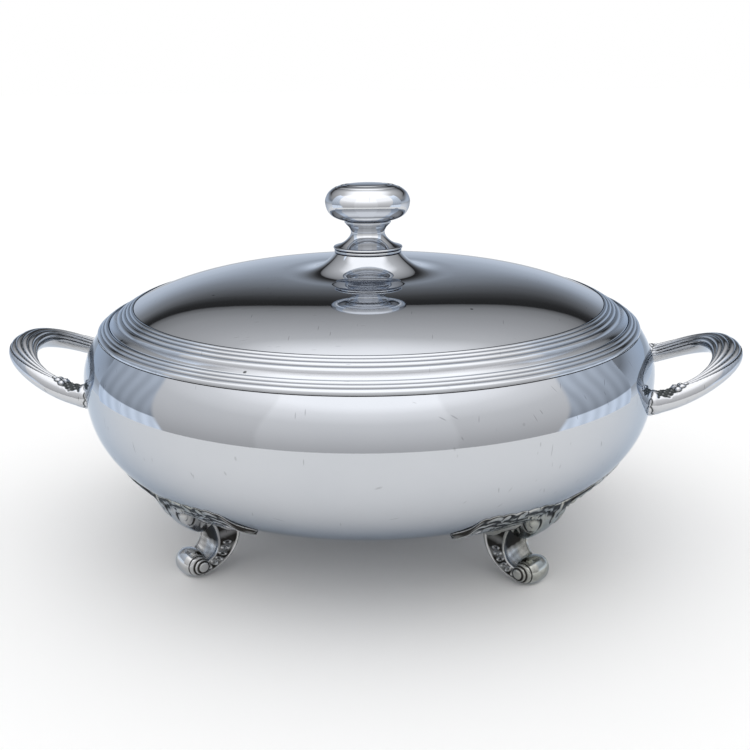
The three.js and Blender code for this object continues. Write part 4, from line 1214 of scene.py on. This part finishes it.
def add_screen():
    """A curved cloth round the front: plain in the middle, folded and blue at its two ends."""
    turn = np.linspace(SCREEN_START, 360 - SCREEN_START, num=400)
    height = np.concatenate([np.linspace(0, SCREEN_FOOT, num=60, endpoint=False),
                             np.linspace(SCREEN_FOOT, SCREEN_HEIGHT, num=50)])
    rows, columns = np.meshgrid(height, np.radians(turn), indexing="ij")
    points = np.stack([SCREEN_RADIUS * np.sin(columns), SCREEN_RADIUS * np.cos(columns), rows], -1)
    seen = np.degrees(np.arctan2(rows - BELLY_HEIGHT * MM, SCREEN_RADIUS - BOWL_RADIUS * MM))
    aside = np.minimum(turn, 360 - turn)[None, :]
    edge = np.interp(rows, [0, PANEL_TOP], PANEL_EDGES)
    middle = ease(MIDDLE_EDGE - 1, MIDDLE_EDGE + 1, aside)
    panel = level(FRONT_LIGHT, seen) * (MIDDLE_SHARE + (1 - MIDDLE_SHARE) * middle)
    folds = 1 + FOLD_SHARE * np.sin(2 * np.pi * aside / FOLD_TURN)
    flank = level(FLANK_LIGHT, seen) * folds
    share = ease(edge - 1.2, edge + 1.2, aside)[..., None]
    blue = flank[..., None] * np.array(CLOTH_BLUE)
    plain = panel[..., None] * np.array(CLOTH_PLAIN)
    cloth("front_screen", points, blue * (1 - share) + plain * share, closed=False)


def rings(radii, height):
    turn = full_turn(FLOOR_STEPS)
    reach = np.array(radii)[:, None]
    return np.stack([reach * np.sin(turn), reach * np.cos(turn), 0 * reach + height + 0 * turn], -1)


def add_apron():
    """The far part of the table, which only the metal sees: it dims away from the dish."""
    points = rings(APRON_RADII, MM)
    glow = np.array(APRON_LIGHT)[:, None, None] * np.array(APRON_BLUE) + 0 * points
    cloth("far_table", points, glow)


def add_floor():
    pale = {"Base Color": (0.97, 0.97, 0.97, 1), "Roughness": 1.0, "Specular IOR Level": 0.0}
    material = principled("pale_floor", **pale)[0]
    points = np.vstack([[[0, 0, 0]], rings(FLOOR_RADII, 0).reshape(-1, 3)])
    faces = [[0, 1 + (j + 1) % FLOOR_STEPS, 1 + j] for j in range(FLOOR_STEPS)]
    faces += (grid_faces(len(FLOOR_RADII), FLOOR_STEPS, wrap_columns=True) + 1).tolist()
    mesh_piece("floor", points, faces, material)


# Daylight by height, as shares of the way from the horizon to straight up
SKY_STOPS = [(0, 0.6), (0.25, 0.75), (0.7, 1.15), (1, 1.25)]


def add_world():
    """White to the camera and in the metal; its daylight on the floor comes mostly from above."""
    world = bpy.data.worlds.new("studio")
    bpy.context.scene.world = world
    world.use_nodes = True
    tree = world.node_tree
    background = tree.nodes["Background"]
    split = node(tree, "SeparateXYZ")
    link(node(tree, "TexCoord").outputs["Generated"], split.inputs[0])
    rays = node(tree, "LightPath").outputs
    shown = largest(tree, rays["Is Camera Ray"], rays["Is Glossy Ray"], rays["Is Transmission Ray"])
    sky = ramp(tree, split.outputs[2], SKY_STOPS)
    link(mixed(tree, shown, sky, (1.0, 1.0, 1.0)), background.inputs["Color"])
    background.inputs["Strength"].default_value = 1.0


add_floor()
add_tent()
add_screen()
add_apron()
add_world()
bpy.context.scene.view_settings.view_transform = "Standard"
